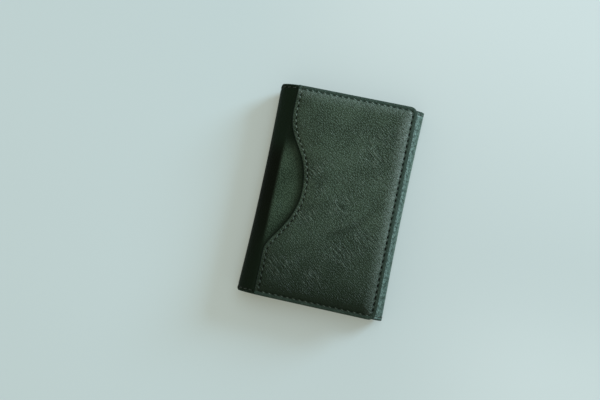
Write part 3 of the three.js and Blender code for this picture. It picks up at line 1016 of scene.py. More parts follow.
@dataclass
class Wrap:
    """The line that the shell and its lining follow, from the front's free edge to the flap's."""

    half_length: float = 54.0
    front_edge: float = 33.5  # X of the free edges
    flap_edge: float = 0.0
    front_level: float = 14.2  # Z of the outer faces
    flap_level: float = 8.2
    spine_centre: float = -28.5  # X where a round starts, and how far it stands out
    spine_reach: float = 9.0
    shoulder: float = 1.2  # power of the spine's upper round; 2 is an ellipse, and less turns down sooner
    fold_centre: float = 33.0
    fold_reach: float = 4.5
    corner: float = 3.7  # radius of the free corners
    spine_corner: float = 1.5  # radii of the rounds' corners, seen from above
    fold_corner: float = 0.15
    spine_waist: float = 1.0  # how far each round is pulled in at half its length
    fold_waist: float = 0.7
    spine_bend: float = 4.5  # how far a bend reaches to either side of its hinge
    fold_bend: float = 2.7
    crease_blend: float = 1.3  # half lengths over which the spine's painted shade starts and ends
    under_blend: float = 4.0
    line: SheetLine = field(init=False)

    def __post_init__(self) -> None:
        """Draws the line: level, half an ellipse, level, half an ellipse, level.

        The upper quarter of the spine is an ellipse whose reach is raised to the power of two over the
        shoulder, so that it leaves the front at a crease.
        """
        half_front, half_flap = self.front_level / 2.0, self.flap_level / 2.0
        turn = np.radians(np.linspace(90.0, 270.0, ROUND_POINTS))
        out = np.abs(np.cos(turn)) ** np.where(turn < np.pi, 2.0 / self.shoulder, 1.0)
        spine = np.stack([self.spine_centre - self.spine_reach * out, half_front * (1 + np.sin(turn))], 1)
        fold_x = self.fold_centre - self.fold_reach * np.cos(turn)
        fold = np.stack([fold_x, half_flap * (1 - np.sin(turn))], 1)
        front = level_points(self.front_edge, self.spine_centre, self.front_level, LEVEL_POINTS)
        back = level_points(self.spine_centre, self.fold_centre, 0.0, LEVEL_POINTS)
        flap = level_points(self.fold_centre, self.flap_edge, self.flap_level, LEVEL_POINTS)
        self.line = SheetLine(np.concatenate([front[:-1], spine, back[1:-1], fold, flap[1:]]))

    @property
    def total(self) -> float:
        """Length of the whole wrap."""
        return float(self.line.lengths[-1])

    def place(self, s: Array, y: Array, height: Array) -> Array:
        """Places on and above the wrap, with both rounds pulled in between their ends.

        Args:
            s: Lengths along the wrap.
            y: Y of each place.
            height: Height of each place along the outward normal.

        Returns:
            The line's places, with X past the start of a round cut by a share that is a parabola along Y.
        """
        points = self.line.place(s, y, height)
        bow = np.clip(1.0 - (points[..., 1] / self.half_length) ** 2, 0.0, 1.0)
        past_spine = np.minimum(points[..., 0] - self.spine_centre, 0.0)
        past_fold = np.maximum(points[..., 0] - self.fold_centre, 0.0)
        pull = past_spine * self.spine_waist / self.spine_reach
        pull = pull + past_fold * self.fold_waist / self.fold_reach
        points[..., 0] -= pull * bow
        return points

    def stretches(self) -> list[Stretch]:
        """The four stretches, which meet at the middle of the spine, back and fold."""
        spine = self.line.nearest(self.spine_centre - self.spine_reach, self.front_level / 2.0)
        back = self.line.nearest(0.0, 0.0)
        fold = self.line.nearest(self.fold_centre + self.fold_reach, self.flap_level / 2.0)
        starts, joined, ends = (True, False), (False, False), (False, True)
        wide, short = self.spine_bend, self.fold_bend
        return [
            Stretch("front", Body.FRONT, Body.SPINE, "front_fold", 0.0, spine, starts, wide,
                    ("front", "spine")),
            Stretch("back_left", Body.SPINE, Body.BACK, "spine_fold", spine, back, joined, wide, ("back",)),
            Stretch("back_right", Body.BACK, Body.FOLD, "outer_fold", back, fold, joined, short,
                    ("back", "fold")),
            Stretch("flap", Body.FOLD, Body.FLAP, "flap_fold", fold, self.total, ends, short, ("flap",)),
        ]

    def on_spine(self, s: Array) -> Array:
        """How far each length of the wrap is on the spine, from 0 to 1.

        Args:
            s: Lengths along the wrap.

        Returns:
            A smooth step at the front's crease times a longer one under the back.
        """
        first = self.line.nearest(self.spine_centre, self.front_level)
        last = self.line.nearest(self.spine_centre, 0.0)
        started = ease((s - first + self.crease_blend) / (2.0 * self.crease_blend))
        return started * ease((last + self.under_blend - s) / (2.0 * self.under_blend))

    def side_limit(self, s: Array, inset: float) -> Array:
        """How far a sheet reaches along Y at each length of the wrap.

        Args:
            s: Lengths along the wrap.
            inset: How far the sheet stays inside the shell's outline.

        Returns:
            Half the length less the inset and the rounding of the nearest corner.
        """
        x, _ = self.line.on_line(self.line.points, s)
        end = np.minimum(s, self.total - s) - inset
        cut = quarter_round(np.maximum(end, 0.0), self.corner - inset)
        cut = np.maximum(cut, quarter_round(x - self.spine_centre + self.spine_reach, self.spine_corner))
        cut = np.maximum(cut, quarter_round(self.fold_centre + self.fold_reach - x, self.fold_corner))
        return self.half_length - inset - cut

    def form(self, stretch: Stretch, inset: float, step: float, edge: float) -> SheetForm:
        """Grid of one stretch of a sheet on the wrap.

        Args:
            stretch: The stretch to lay out.
            inset: How far the sheet stays inside the shell's outline.
            step: Size of the grid's cells.
            edge: Radius of the rounded edges.

        Returns:
            The grid, with the distance of each place from the outline.
        """
        start = stretch.start + inset * stretch.free[0]
        end = stretch.end - inset * stretch.free[1]
        length = graded(start, end, step, edge, stretch.free)
        across = graded(-1.0, 1.0, step / self.half_length, edge / self.half_length)
        s = np.broadcast_to(length[:, None], (len(length), len(across)))
        limit = self.side_limit(length, inset)[:, None]
        y = limit * across
        past = np.minimum(s, self.total - s) - inset
        side = self.half_length - inset - np.abs(y)
        rounded = corner_distance(past, side, self.corner - inset)
        distance = np.maximum(np.minimum(rounded, limit - np.abs(y)), 0.0)
        return SheetForm(self.place, s, y, distance, (not stretch.free[0], not stretch.free[1]))


@dataclass(frozen=True)
class WaveMouth:
    """The mouth of the front pocket, seen from above: a lip, a wave to a throat and back, and a lip."""

    lip: float = -27.6  # X beside the wave
    throat: float = -14.85  # X at the wave's deepest point
    ends: Pair = (41.1, -30.9)  # Y where the wave meets the upper and the lower lip
    lip_pulls: Pair = (18.0, 6.0)  # how far the curve leaves each lip straight
    middle: float = 0.7  # Y of the throat
    throat_pulls: Pair = (22.0, 15.8)  # how far it leaves the throat straight, upwards and downwards
    half_length: float = 54.0  # Y where the lips end

    def curve(self, start: float, lip_pull: float, throat_pull: float) -> Array:
        """One half of the wave, as a cubic curve from a lip to the throat.

        Args:
            start: Y where it leaves the lip.
            lip_pull: How far it leaves the lip straight.
            throat_pull: How far it reaches the throat straight.

        Returns:
            X and Y of its points.
        """
        t = np.linspace(0.0, 1.0, CURVE_POINTS)[:, None]
        turn = math.copysign(1.0, self.middle - start)
        first = np.array([self.lip, start])
        second = np.array([self.lip, start + turn * lip_pull])
        third = np.array([self.throat, self.middle - turn * throat_pull])
        last = np.array([self.throat, self.middle])
        near = (1 - t) ** 3 * first + 3 * (1 - t) ** 2 * t * second
        return near + (3 * (1 - t) * t**2 * third + t**3 * last)

    def straight(self, first_y: float, last_y: float) -> Array:
        """X and Y along one lip."""
        return np.stack([np.full(LIP_POINTS, self.lip), np.linspace(first_y, last_y, LIP_POINTS)], axis=1)

    def path(self) -> Array:
        """The mouth from lower to upper end: a lip, two cubic curves to and from the throat, a lip."""
        high, low = self.ends
        upper, lower = (self.curve(*half) for half in zip(self.ends, self.lip_pulls, self.throat_pulls))
        return np.concatenate([self.straight(-self.half_length, low)[:-1], lower[:-1], upper[::-1],
                               self.straight(high, self.half_length)[1:]])

    def at(self, y: Array) -> tuple[Array, Array]:
        """X of the mouth at each Y, and the cosine of its lean there.

        Args:
            y: Y of the places.

        Returns:
            The X by straight steps along the path, and one over the root of one plus its slope squared.
        """
        path = self.path()
        slope = np.gradient(path[:, 0], path[:, 1])
        return np.interp(y, path[:, 1], path[:, 0]), 1.0 / np.sqrt(1.0 + np.interp(y, path[:, 1], slope) ** 2)


@dataclass
class Shell:
    """The one outer leather that wraps the wallet, with the seam round its spine, back, fold and flap."""

    wrap: Wrap
    mouth: WaveMouth
    finishes: Wardrobe
    leather: float = 1.2  # thickness
    edge: float = 0.25  # radius of the cut edges
    step: float = 0.52  # size of the grid's cells
    inset: float = 1.65  # distance of the seam from the edge
    seam_start: float = -28.6  # X on the front, beside the pocket
    seam_fade: float = 0.8  # length over which a furrow starts and ends
    cross_seam: float = 31.35  # X of the seam along the fold side of the back
    cross_gap: float = 1.2  # distance of its ends from the seams beside it
    shade: float = 0.95  # painted shadow beside the pocket's mouth
    shade_width: float = 5.5
    shade_fall: float = 1.5  # power by which it falls
    narrow: Pair = (15.0, 13.0)  # Y where the painted shade of the wave's narrow upper end starts, and the length of its growth
    wrinkle_patch: Triple = (-24.0, -9.0, 5.0)  # X, Y and reach
    highlight_under: float = 5.0  # length from the start of the fold's round over which half of its painted highlight grows
    highlight_ridge: Pair = (3.5, 2.0)  # start of the other half before the round's end, and its length
    highlight_end: Pair = (4.0, 3.0)  # end of the painted highlight past the round's end, and the length of its fall
    highlight_ends: Pair = (0.1, 1.2)  # start and length of its growth from the cut ends
    highlight_low: float = 0.76  # share of it at the lower end
    highlight_along: Pair = (-60.0, 110.0)  # start and length of its growth along Y
    sewing: Stitching = Stitching()

    def build(self) -> None:
        """Builds the four stretches of leather and the stitches on each."""
        wrap = self.wrap
        seam_first = wrap.line.nearest(self.seam_start, wrap.front_level)
        side, end = wrap.half_length - self.inset, wrap.total - self.inset
        holes = self.sewing.holes(rounded_seam(seam_first, side, end, wrap.corner - self.inset))
        cross, reach = wrap.line.nearest(self.cross_seam, 0.0), side - self.cross_gap
        across = self.sewing.holes(np.array([[cross, -reach], [cross, reach]]))
        for stretch in wrap.stretches():
            form = wrap.form(stretch, 0.0, self.step, self.edge)
            drop = quarter_round(form.edge, self.edge)
            mark = np.maximum(*(self.sewing.marks(form.s, form.y, row) for row in (holes, across)))
            sewn = rise(form.s, seam_first - self.seam_fade, self.seam_fade)
            dip = self.sewing.furrow(form.edge, self.inset) * sewn
            dip = np.maximum(dip, self.cross_furrow(form, cross, reach))
            masks = {
                HOLE_VALUE: mark,
                # Painted shade on the spine, which turns away from the light
                RIM_AND_SPINE_SHADE_VALUE: wrap.on_spine(form.s),
                # Painted highlight where the outer fold turns to the light
                HIGHLIGHT_VALUE: self.wear_and_highlight(form),
                # Painted shadow of the pocket's mouth on the front
                SHADE_VALUE: self.beside_mouth(form),
                WRINKLE_VALUE: self.wrinkled(form),
            }
            surface = form.surface(-drop - dip - self.sewing.pit * mark, drop - self.leather, masks)
            piece = surface.write(f"shell_{stretch.name}", self.finishes.shell)
            stretch.bend(piece, wrap.line)
            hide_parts(*(f"{node}_cover" for node in stretch.nodes))
            self.sew(stretch, holes, across)

    def wear_and_highlight(self, form: SheetForm) -> Array:
        """How far a painted highlight lies on the outer fold, where its round turns to the light, from 0 to
        1.

        Args:
            form: The grid of a stretch.

        Returns:
            Two smooth steps that grow round the fold and one that falls past it, less towards the lower end
            and little at the cut ends.
        """
        line, level = self.wrap.line, self.wrap.flap_level
        first, last = (line.nearest(self.wrap.fold_centre, z) for z in (0.0, level))
        ridge, ridge_length = self.highlight_ridge
        end, end_length = self.highlight_end
        grown = 0.5 * rise(form.s, first, self.highlight_under) + 0.5 * ease((form.s - last + ridge) / ridge_length)
        on_fold = grown * ease((last + end - form.s) / end_length)
        along = self.highlight_low + (1.0 - self.highlight_low) * rise(form.y, *self.highlight_along)
        return on_fold * rise(form.edge, *self.highlight_ends) * along

    def beside_mouth(self, form: SheetForm) -> Array:
        """How far painted shade darkens the front, from 0 to 1.

        Args:
            form: The grid of a stretch.

        Returns:
            The greater of a painted shadow that falls away from the pocket's mouth and a smooth step of
            painted shade into the narrow end of the wave.
        """
        x, z = self.wrap.line.on_line(self.wrap.line.points, form.s)
        edge, lean = self.mouth.at(form.y)
        beside = falling(np.maximum(edge - x, 0.0) * lean, self.shade_width, self.shade_fall)
        narrow = rise(form.y, *self.narrow)
        return self.shade * np.maximum(beside, narrow) * (z > self.wrap.front_level / 2.0)

    def wrinkled(self, form: SheetForm) -> Array:
        """How far each place lies in the wrinkled patch of the front beside the spine.

        Args:
            form: The grid of a stretch.

        Returns:
            A bell round the patch's middle, from 0 to 1.
        """
        x, y, reach = self.wrinkle_patch
        middle = self.wrap.line.nearest(x, self.wrap.front_level)
        return np.exp(-((form.s - middle) ** 2 + (form.y - y) ** 2) / reach**2)

    def cross_furrow(self, form: SheetForm, cross: float, reach: float) -> Array:
        """Depth of the furrow along the fold side of the back, which ends at the seams beside it."""
        ending = ease((reach + self.seam_fade - np.abs(form.y)) / self.seam_fade)
        return self.sewing.furrow(form.s - cross, 0.0) * ending

    def sew(self, stretch: Stretch, holes: Array, across: Array) -> None:
        """Stitches whose middles lie on one stretch.

        Args:
            stretch: The stretch of leather.
            holes: Holes of the seam round the wallet.
            across: Holes of the seam along the fold side of the back.
        """
        starts = np.concatenate([holes[:-1], across[:-1]])
        ends = np.concatenate([holes[1:], across[1:]])
        middle = (starts[:, 0] + ends[:, 0]) / 2.0
        kept = (middle > stretch.start) & (middle < stretch.end)
        if not kept.any():
            return
        base = np.full(int(kept.sum()), -self.sewing.groove)
        threads = self.sewing.surface(starts[kept], ends[kept], base, self.wrap.place)
        piece = threads.write(f"seam_{stretch.name}", self.finishes.dark_thread)
        stretch.bend(piece, self.wrap.line)


@dataclass
class Lining:
    """The cloth that lines the shell all along the wrap."""

    wrap: Wrap
    finishes: Wardrobe
    depth: Pair = (1.3, 1.7)  # of its outer and inner face below the shell's outer face
    inset: float = 0.5  # how far it stays inside the shell's outline
    edge: float = 0.12  # radius of its edges
    step: float = 1.0  # size of the grid's cells

    def build(self) -> None:
        """Builds the four stretches of cloth."""
        for stretch in self.wrap.stretches():
            form = self.wrap.form(stretch, self.inset, self.step, self.edge)
            drop = quarter_round(form.edge, self.edge)
            surface = form.surface(-self.depth[0] - drop, drop - self.depth[1], {})
            piece = surface.write(f"lining_{stretch.name}", self.finishes.lining)
            stretch.bend(piece, self.wrap.line)
            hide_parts(*(f"{node}_lining" for node in stretch.nodes))


@dataclass(frozen=True)
class Dent:
    """The long dent in the pocket: a bowed line, seen from above, whose depth fades at both ends."""

    first: Pair = (24.5, 3.5)  # X and Y of its ends and of the point that bows it
    pull: Pair = (13.3, -17.3)
    last: Pair = (-3.0, -18.5)
    width: float = 2.0  # distance over which it falls to about a third
    depth: float = 0.5
    fade: float = 0.7  # power of the sine by which it fades at its ends
    points: int = 45  # that draw the line

    def share(self, x: Array, y: Array) -> Array:
        """Share of the dent at each place, from 0 to 1.

        Args:
            x: X of the places, as a grid.
            y: Y of the places, as a grid.

        Returns:
            The highest of the bells round the points of a curve, each times a power of the sine along it.
        """
        t = np.linspace(0.0, 1.0, self.points)
        path = np.outer((1 - t) ** 2, self.first) + np.outer(2 * t * (1 - t), self.pull)
        path = path + np.outer(t * t, self.last)
        gap = (x[..., None] - path[:, 0]) ** 2 + (y[..., None] - path[:, 1]) ** 2
        strength = np.sin(np.pi * t) ** self.fade
        return (strength * np.exp(-gap / self.width**2)).max(axis=-1)


@dataclass(frozen=True)
class WrinkleKind:
    """One kind of short wrinkle."""

    count: int
    low: Pair  # lowest and highest X and Y of the random places
    high: Pair
    angle: Pair  # mean and spread, in degrees from X
    length: Pair  # least and greatest half length
    width: Pair  # least and greatest half width
    depth: Pair  # least and greatest depth


@dataclass(frozen=True)
class Wrinkles:
    """Short wrinkles of the pocket at seeded places.

    A patch is its X, Y and reach. Most of the slanting wrinkles lie in the patches, and the puckers lie
    across the seam of the free edge.
    """

    patches: tuple[Triple, ...] = (
        (-16.0, -39.0, 9.0), (-1.6, -41.0, 7.0), (10.0, -24.0, 8.0),
        (20.5, -15.0, 8.0), (6.0, -1.0, 7.0), (-13.0, -11.0, 5.0),
        (-10.0, 12.0, 8.0), (18.0, 24.0, 8.0), (23.0, 35.0, 6.0),
    )
    seed: int = 17  # of the random draws
    scatter: float = 0.75  # spread of a patch's wrinkles, as a share of its reach
    stray: float = 0.45  # share of the slanting wrinkles that lie anywhere
    slanting: WrinkleKind = WrinkleKind(count=150, low=(-24.0, -50.0), high=(30.0, 50.0), angle=(-40.0, 8.0),
                                        length=(2.0, 5.5), width=(0.42, 0.7), depth=(0.03, 0.09))
    puckers: WrinkleKind = WrinkleKind(count=110, low=(25.0, -50.0), high=(30.5, 50.0), angle=(-16.0, 9.0),
                                       length=(1.2, 2.6), width=(0.36, 0.5), depth=(0.03, 0.08))

    def patchy(self, x: Array, y: Array) -> Array:
        """How far each place lies in one of the patches, from 0 to 1.

        Args:
            x: X of the places, as a grid.
            y: Y of the places, as a grid.

        Returns:
            The highest of the bells round the patches' middles.
        """
        middle_x, middle_y, reach = np.array(self.patches).T
        gap = (x[..., None] - middle_x) ** 2 + (y[..., None] - middle_y) ** 2
        return np.exp(-gap / reach**2).max(axis=-1)

    def depth(self, x: Array, y: Array) -> Array:
        """Depth of the wrinkles at each place.

        Args:
            x: X of the places, as a grid.
            y: Y of the places, as a grid.

        Returns:
            The sum of long thin bells, each with its own middle, angle, length, width and depth.
        """
        draw = np.random.default_rng(self.seed)
        slanting, puckers = self.slanting, self.puckers
        kinds = (slanting, puckers)
        patches = np.array(self.patches)
        patch = patches[draw.integers(0, len(patches), slanting.count)]
        centre = patch[:, :2] + draw.normal(0.0, self.scatter, (slanting.count, 2)) * patch[:, 2:]
        astray = draw.random(slanting.count) < self.stray
        centre[astray] = draw.uniform(slanting.low, slanting.high, (int(astray.sum()), 2))
        beside = draw.uniform(puckers.low, puckers.high, (puckers.count, 2))
        centre = np.concatenate([centre, beside])
        angle = np.radians(np.concatenate([draw.normal(*kind.angle, kind.count) for kind in kinds]))
        length = np.concatenate([draw.uniform(*kind.length, kind.count) for kind in kinds])
        width = np.concatenate([draw.uniform(*kind.width, kind.count) for kind in kinds])
        depth = np.concatenate([draw.uniform(*kind.depth, kind.count) for kind in kinds])
        east, north = x[..., None] - centre[:, 0], y[..., None] - centre[:, 1]
        along = east * np.cos(angle) + north * np.sin(angle)
        off = north * np.cos(angle) - east * np.sin(angle)
        return (depth * np.exp(-((along / length) ** 2) - (off / width) ** 2)).sum(axis=-1)


@dataclass
class WavePocket:
    """The puffed front pocket with its wave mouth, dent, wrinkles and seams."""

    wrap: Wrap
    mouth: WaveMouth
    finishes: Wardrobe
    level: float = 14.3  # Z of the underside at the rim
    thickness: float = 0.85
    edge: float = 0.3  # radius of the cut edge
    step: float = 0.36  # size of the grid's cells along Y
    edge_rows: Pair = (0.9, 0.3)  # reach and step of the rows beside an edge
    seam_rows: Triple = (1.1, 2.55, 0.2)  # first, end and step of the rows across a seam
    last_rows: Triple = (2.8, 3.3, 3.9)  # the last rows that keep their distance from an edge
    even_rows: int = 114  # the rows between those, with both ends
    line_past: float = 1.0  # how far the grid's line runs past the mouth
    inset: float = 2.05  # distance of the seam from the front's edge
    wave_inset: float = 1.8  # distance of the seam from the mouth
    seam_gap: float = 1.2  # distance of the first seam's ends from the other
    seam_past: float = 0.1  # how far the mouth's seam may pass the first
    crown: float = 1.9  # rise beside the seam
    bow: float = 1.1  # further rise to the middle
    roll: float = 6.1  # distance over which it rises from the seam
    roll_power: float = 2.2
    bow_power: float = 2.0  # of the rise to the middle and of the hold at the mouth
    mouth_roll: float = 15.0  # distance over which it rises from the mouth
    mouth_hold: float = 0.75  # share of the rise that is held down at the mouth
    under_share: float = 0.98  # share of the rise that the underside has
    calm: float = 3.0  # distance past the seams over which the dent and the wrinkles start
    mark_loss: float = 0.3  # share by which the holes are weaker at both ends
    mark_end: Pair = (5.0, 2.0)  # distance from an end where that starts, and its length
    rim: Pair = (0.15, 0.15)  # reach of the pressed rim past the seam, and what it gains at both ends
    rim_end: Pair = (4.5, 1.0)  # distance from an end where it does, and its length
    rim_blend: float = 0.4  # distance over which the rim fades
    dent: Dent = Dent()
    wrinkles: Wrinkles = Wrinkles()
    sewing: Stitching = Stitching(slant=-0.32, groove=0.26, pit=0.42, slit=0.9, pit_width=0.42, lean=0.12,
                                  cover=0.46, lift=0.06)
    wave_sewing: Stitching = Stitching(groove=0.2, pit=0.42, slit=0.75, pit_width=0.36, cover=0.46, lift=0.1)

    @property
    def seam_y(self) -> float:
        """Y of the upper end's seam."""
        return self.wrap.half_length - self.inset

    def form(self) -> SheetForm:
        """Grid of the pocket: rows across from the free edge to the mouth, columns along Y.

        Rows near either edge keep their distance from it, and those between are spread evenly.
        """
        half, far = self.wrap.half_length, self.wrap.front_edge
        across = graded(-1.0, 1.0, self.step / half, self.edge / half)
        lead = graded(0.0, *self.edge_rows, self.edge, (True, False))
        near = np.concatenate([lead, np.arange(*self.seam_rows), self.last_rows])
        even = np.linspace(0.0, 1.0, self.even_rows)[1:-1]
        share = np.concatenate([0.0 * near, even, 0.0 * near + 1.0])
        offset = np.concatenate([near, near[-1] * (1.0 - 2.0 * even), -near[::-1]])
        mouth, _ = self.mouth.at(half * across)
        s = share[:, None] * (far - mouth) + offset[:, None]
        limit = half - quarter_round(s, self.wrap.corner)
        y = limit * across
        line = level_line(self.mouth.lip - self.line_past, far, self.level, Facing.UP)
        rim, from_mouth = self.distances(far - s, y)
        return SheetForm(line.place, s, y, np.maximum(np.minimum(rim, from_mouth), 0.0))

    def distances(self, x: Array, y: Array) -> tuple[Array, Array]:
        """Distances from the front's rounded outline and from the mouth.

        Args:
            x: X of the places.
            y: Y of the places.

        Returns:
            Distance from the top, right and bottom edges, and distance across the mouth's line.
        """
        side = self.wrap.half_length - np.abs(y)
        rim = corner_distance(self.wrap.front_edge - x, side, self.wrap.corner)
        mouth, lean = self.mouth.at(y)
        return rim, (x - mouth) * lean

    def puff(self, rim: Array, from_mouth: Array) -> Array:
        """Height of the puffed middle.

        Args:
            rim: Distances from the front's outline.
            from_mouth: Distances from the mouth.

        Returns:
            One minus a falling power, steepest at the stitches, level in the middle and lower at the mouth.
        """
        risen = 1.0 - falling(rim - self.inset, self.roll, self.roll_power)
        middle = self.wrap.front_edge - self.mouth.throat - self.mouth_roll
        bowed = 1.0 - falling(rim, middle, self.bow_power)
        held = self.mouth_hold * falling(from_mouth, self.mouth_roll, self.bow_power)
        return (self.crown * risen + self.bow * bowed) * (1.0 - held)

    def wear_and_highlight(self, s: Array, y: Array, past_seam: Array) -> Array:
        """How far a painted highlight lies on each place, where the puffed edges turn to the light, from 0 to
        1.

        Args:
            s: Distances from the free edge.
            y: Y of the places.
            past_seam: Distances inside the nearest seam of the rim.

        Returns:
            A power that falls away from the free edge's and the upper end's seam, less towards the lower end.
        """
        free_share, upper_share, fall, start = 1.1, 0.62, 1.6, 0.5
        free_width, wider, upper_width = 6.3, 1.4, 6.5
        wider_y, wider_length, highlight_y, highlight_length = -10.0, 60.0, -105.0, 138.0
        width = free_width + wider * rise(y, wider_y, wider_length)
        beside = free_share * falling(s - self.inset, width, fall)
        under = upper_share * falling(self.seam_y - y, upper_width, fall)
        worn = np.clip(np.maximum(beside, under), 0.0, 1.0)
        return worn * rise(y, highlight_y, highlight_length) * rise(past_seam, 0.0, start)

    def shade(self, y: Array, dented: Array, past_seam: Array, from_mouth: Array) -> Array:
        """How far painted shade darkens each place, from 0 to 1.

        Args:
            y: Y of the places.
            dented: Share of the dent.
            past_seam: Distances inside the nearest seam of the rim.
            from_mouth: Distances from the mouth.

        Returns:
            The greatest of the painted shade in the dent, at the lower end where the puff turns from the
            light, and beside the mouth.
        """
        # Painted shade: in the dent, at the lower end where the puff turns from the light, and beside the
        # mouth
        dent_share, low_share, mouth_share = 0.42, 0.86, 0.16
        low_y, low_length, low_start = -37.0, 12.0, 0.6
        mouth_y, mouth_length, mouth_width = 15.0, 20.0, 18.0
        low_end = low_share * ease((low_y - y) / low_length) * rise(past_seam, 0.0, low_start)
        by_mouth = mouth_share * rise(y, mouth_y, mouth_length) * falling(from_mouth, mouth_width, 1.0)
        return np.maximum(np.maximum(dent_share * dented, low_end), by_mouth)

    def thread_highlight(self, s: Array, y: Array) -> Array:
        """How far the stitches get a painted highlight, from 0 to 1.

        Args:
            s: Distance of each stitch's middle from the free edge.
            y: Its Y.

        Returns:
            Most at the upper end, less at the lower end, little along the free edge, rising along the mouth.
        """
        upper_share, lower_share, free_share, mouth_share = 0.36, 0.26, 0.1, 0.8
        mouth_y, mouth_length = -40.0, 75.0
        end_start, end_length, corner_length, from_mouth = 1.5, 1.0, 3.0, 12.0
        start = self.seam_y - end_start
        ends = upper_share * rise(y, start, end_length) + lower_share * rise(-y, start, end_length)
        round_it = np.maximum(ends * rise(s, self.inset, corner_length), free_share)
        along_mouth = np.maximum(ends, mouth_share * rise(y, mouth_y, mouth_length))
        return np.where(s < from_mouth, round_it, along_mouth)

    def at_ends(self, y: Array, start: float, length: float) -> Array:
        """Smooth step from 0 to 1 towards both ends, which starts at a distance from them."""
        return ease((np.abs(y) - self.wrap.half_length + start) / length)

    def seams(self) -> tuple[Array, Array]:
        """Paths of the seam round three sides and of the one beside the mouth.

        Both are lengths from the free edge and Y. The first is the outline moved in by the inset, with
        quarter circles as corners. The second is the mouth moved in along its normals.
        """
        far = self.wrap.front_edge
        start = far - self.mouth.lip - self.wave_inset - self.seam_gap
        round_it = rounded_seam(start, self.seam_y, self.inset, self.wrap.corner - self.inset)
        path = self.mouth.path()
        along = np.gradient(path, axis=0)
        along /= np.linalg.norm(along, axis=1, keepdims=True)
        inner = path + self.wave_inset * np.stack([along[:, 1], -along[:, 0]], axis=1)
        inner = inner[np.abs(inner[:, 1]) < self.seam_y + self.seam_past]
        return round_it, np.stack([far - inner[:, 0], inner[:, 1]], axis=1)

    def build(self) -> None:
        """Builds the pocket and its two seams."""
        form = self.form()
        x, y = self.wrap.front_edge - form.s, form.y
        rim, from_mouth = self.distances(x, y)
        past_seam = rim - self.inset
        names, threads = ("seam_pocket", "seam_wave"), (self.sewing, self.wave_sewing)
        rows = [sewing.holes(seam) for sewing, seam in zip(threads, self.seams())]
        shortened = 1.0 - self.mark_loss * self.at_ends(y, *self.mark_end)
        marks = [sewing.marks(form.s, y, row) * shortened for sewing, row in zip(threads, rows)]
        pits = np.maximum(*(sewing.pit * mark for sewing, mark in zip(threads, marks)))
        drop = quarter_round(form.edge, self.edge)
        lifted = self.puff(rim, from_mouth)
        inside = rise(rim, self.inset, self.calm) * rise(from_mouth, self.wave_inset, self.calm)
        dented = self.dent.share(x, y) * inside
        relief = self.dent.depth * dented + self.wrinkles.depth(x, y) * inside
        beside_mouth = self.wave_sewing.furrow(from_mouth, self.wave_inset)
        furrow = np.maximum(self.sewing.furrow(rim, self.inset), beside_mouth)
        rim_past = self.rim[0] + self.rim[1] * self.at_ends(y, *self.rim_end)
        masks = {
            HOLE_VALUE: np.maximum(*marks),
            RIM_AND_SPINE_SHADE_VALUE: ease((rim_past - past_seam) / self.rim_blend),
            # Painted shade in the dent, at the lower end and beside the mouth
            SHADE_VALUE: self.shade(y, dented, past_seam, from_mouth),
            # Painted highlight where the puffed edges turn to the light
            HIGHLIGHT_VALUE: self.wear_and_highlight(form.s, y, past_seam),
            WRINKLE_VALUE: self.wrinkles.patchy(x, y),
        }
        outer = self.thickness + lifted - drop - furrow - pits - relief
        surface = form.surface(outer, lifted * self.under_share + drop, masks)
        piece = surface.write("pocket", self.finishes.pocket)
        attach(piece, Body.FRONT.value)
        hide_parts("front_pocket")
        for name, sewing, row in zip(names, threads, rows):
            self.sew(name, sewing, row, form)

    def sew(self, name: str, sewing: Stitching, row: Array, form: SheetForm) -> None:
        """Stitches of one seam.

        Args:
            name: Name of the piece.
            sewing: Its thread.
            row: Its holes, as lengths from the free edge and Y.
            form: The pocket's grid, which places the thread.
        """
        middle = (row[:-1] + row[1:]) / 2.0
        s, y = middle.T
        base = self.thickness + self.puff(*self.distances(self.wrap.front_edge - s, y)) - sewing.groove
        threads = sewing.surface(row[:-1], row[1:], base, form.place, self.thread_highlight(s, y))
        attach(threads.write(name, self.finishes.highlit_thread), Body.FRONT.value)


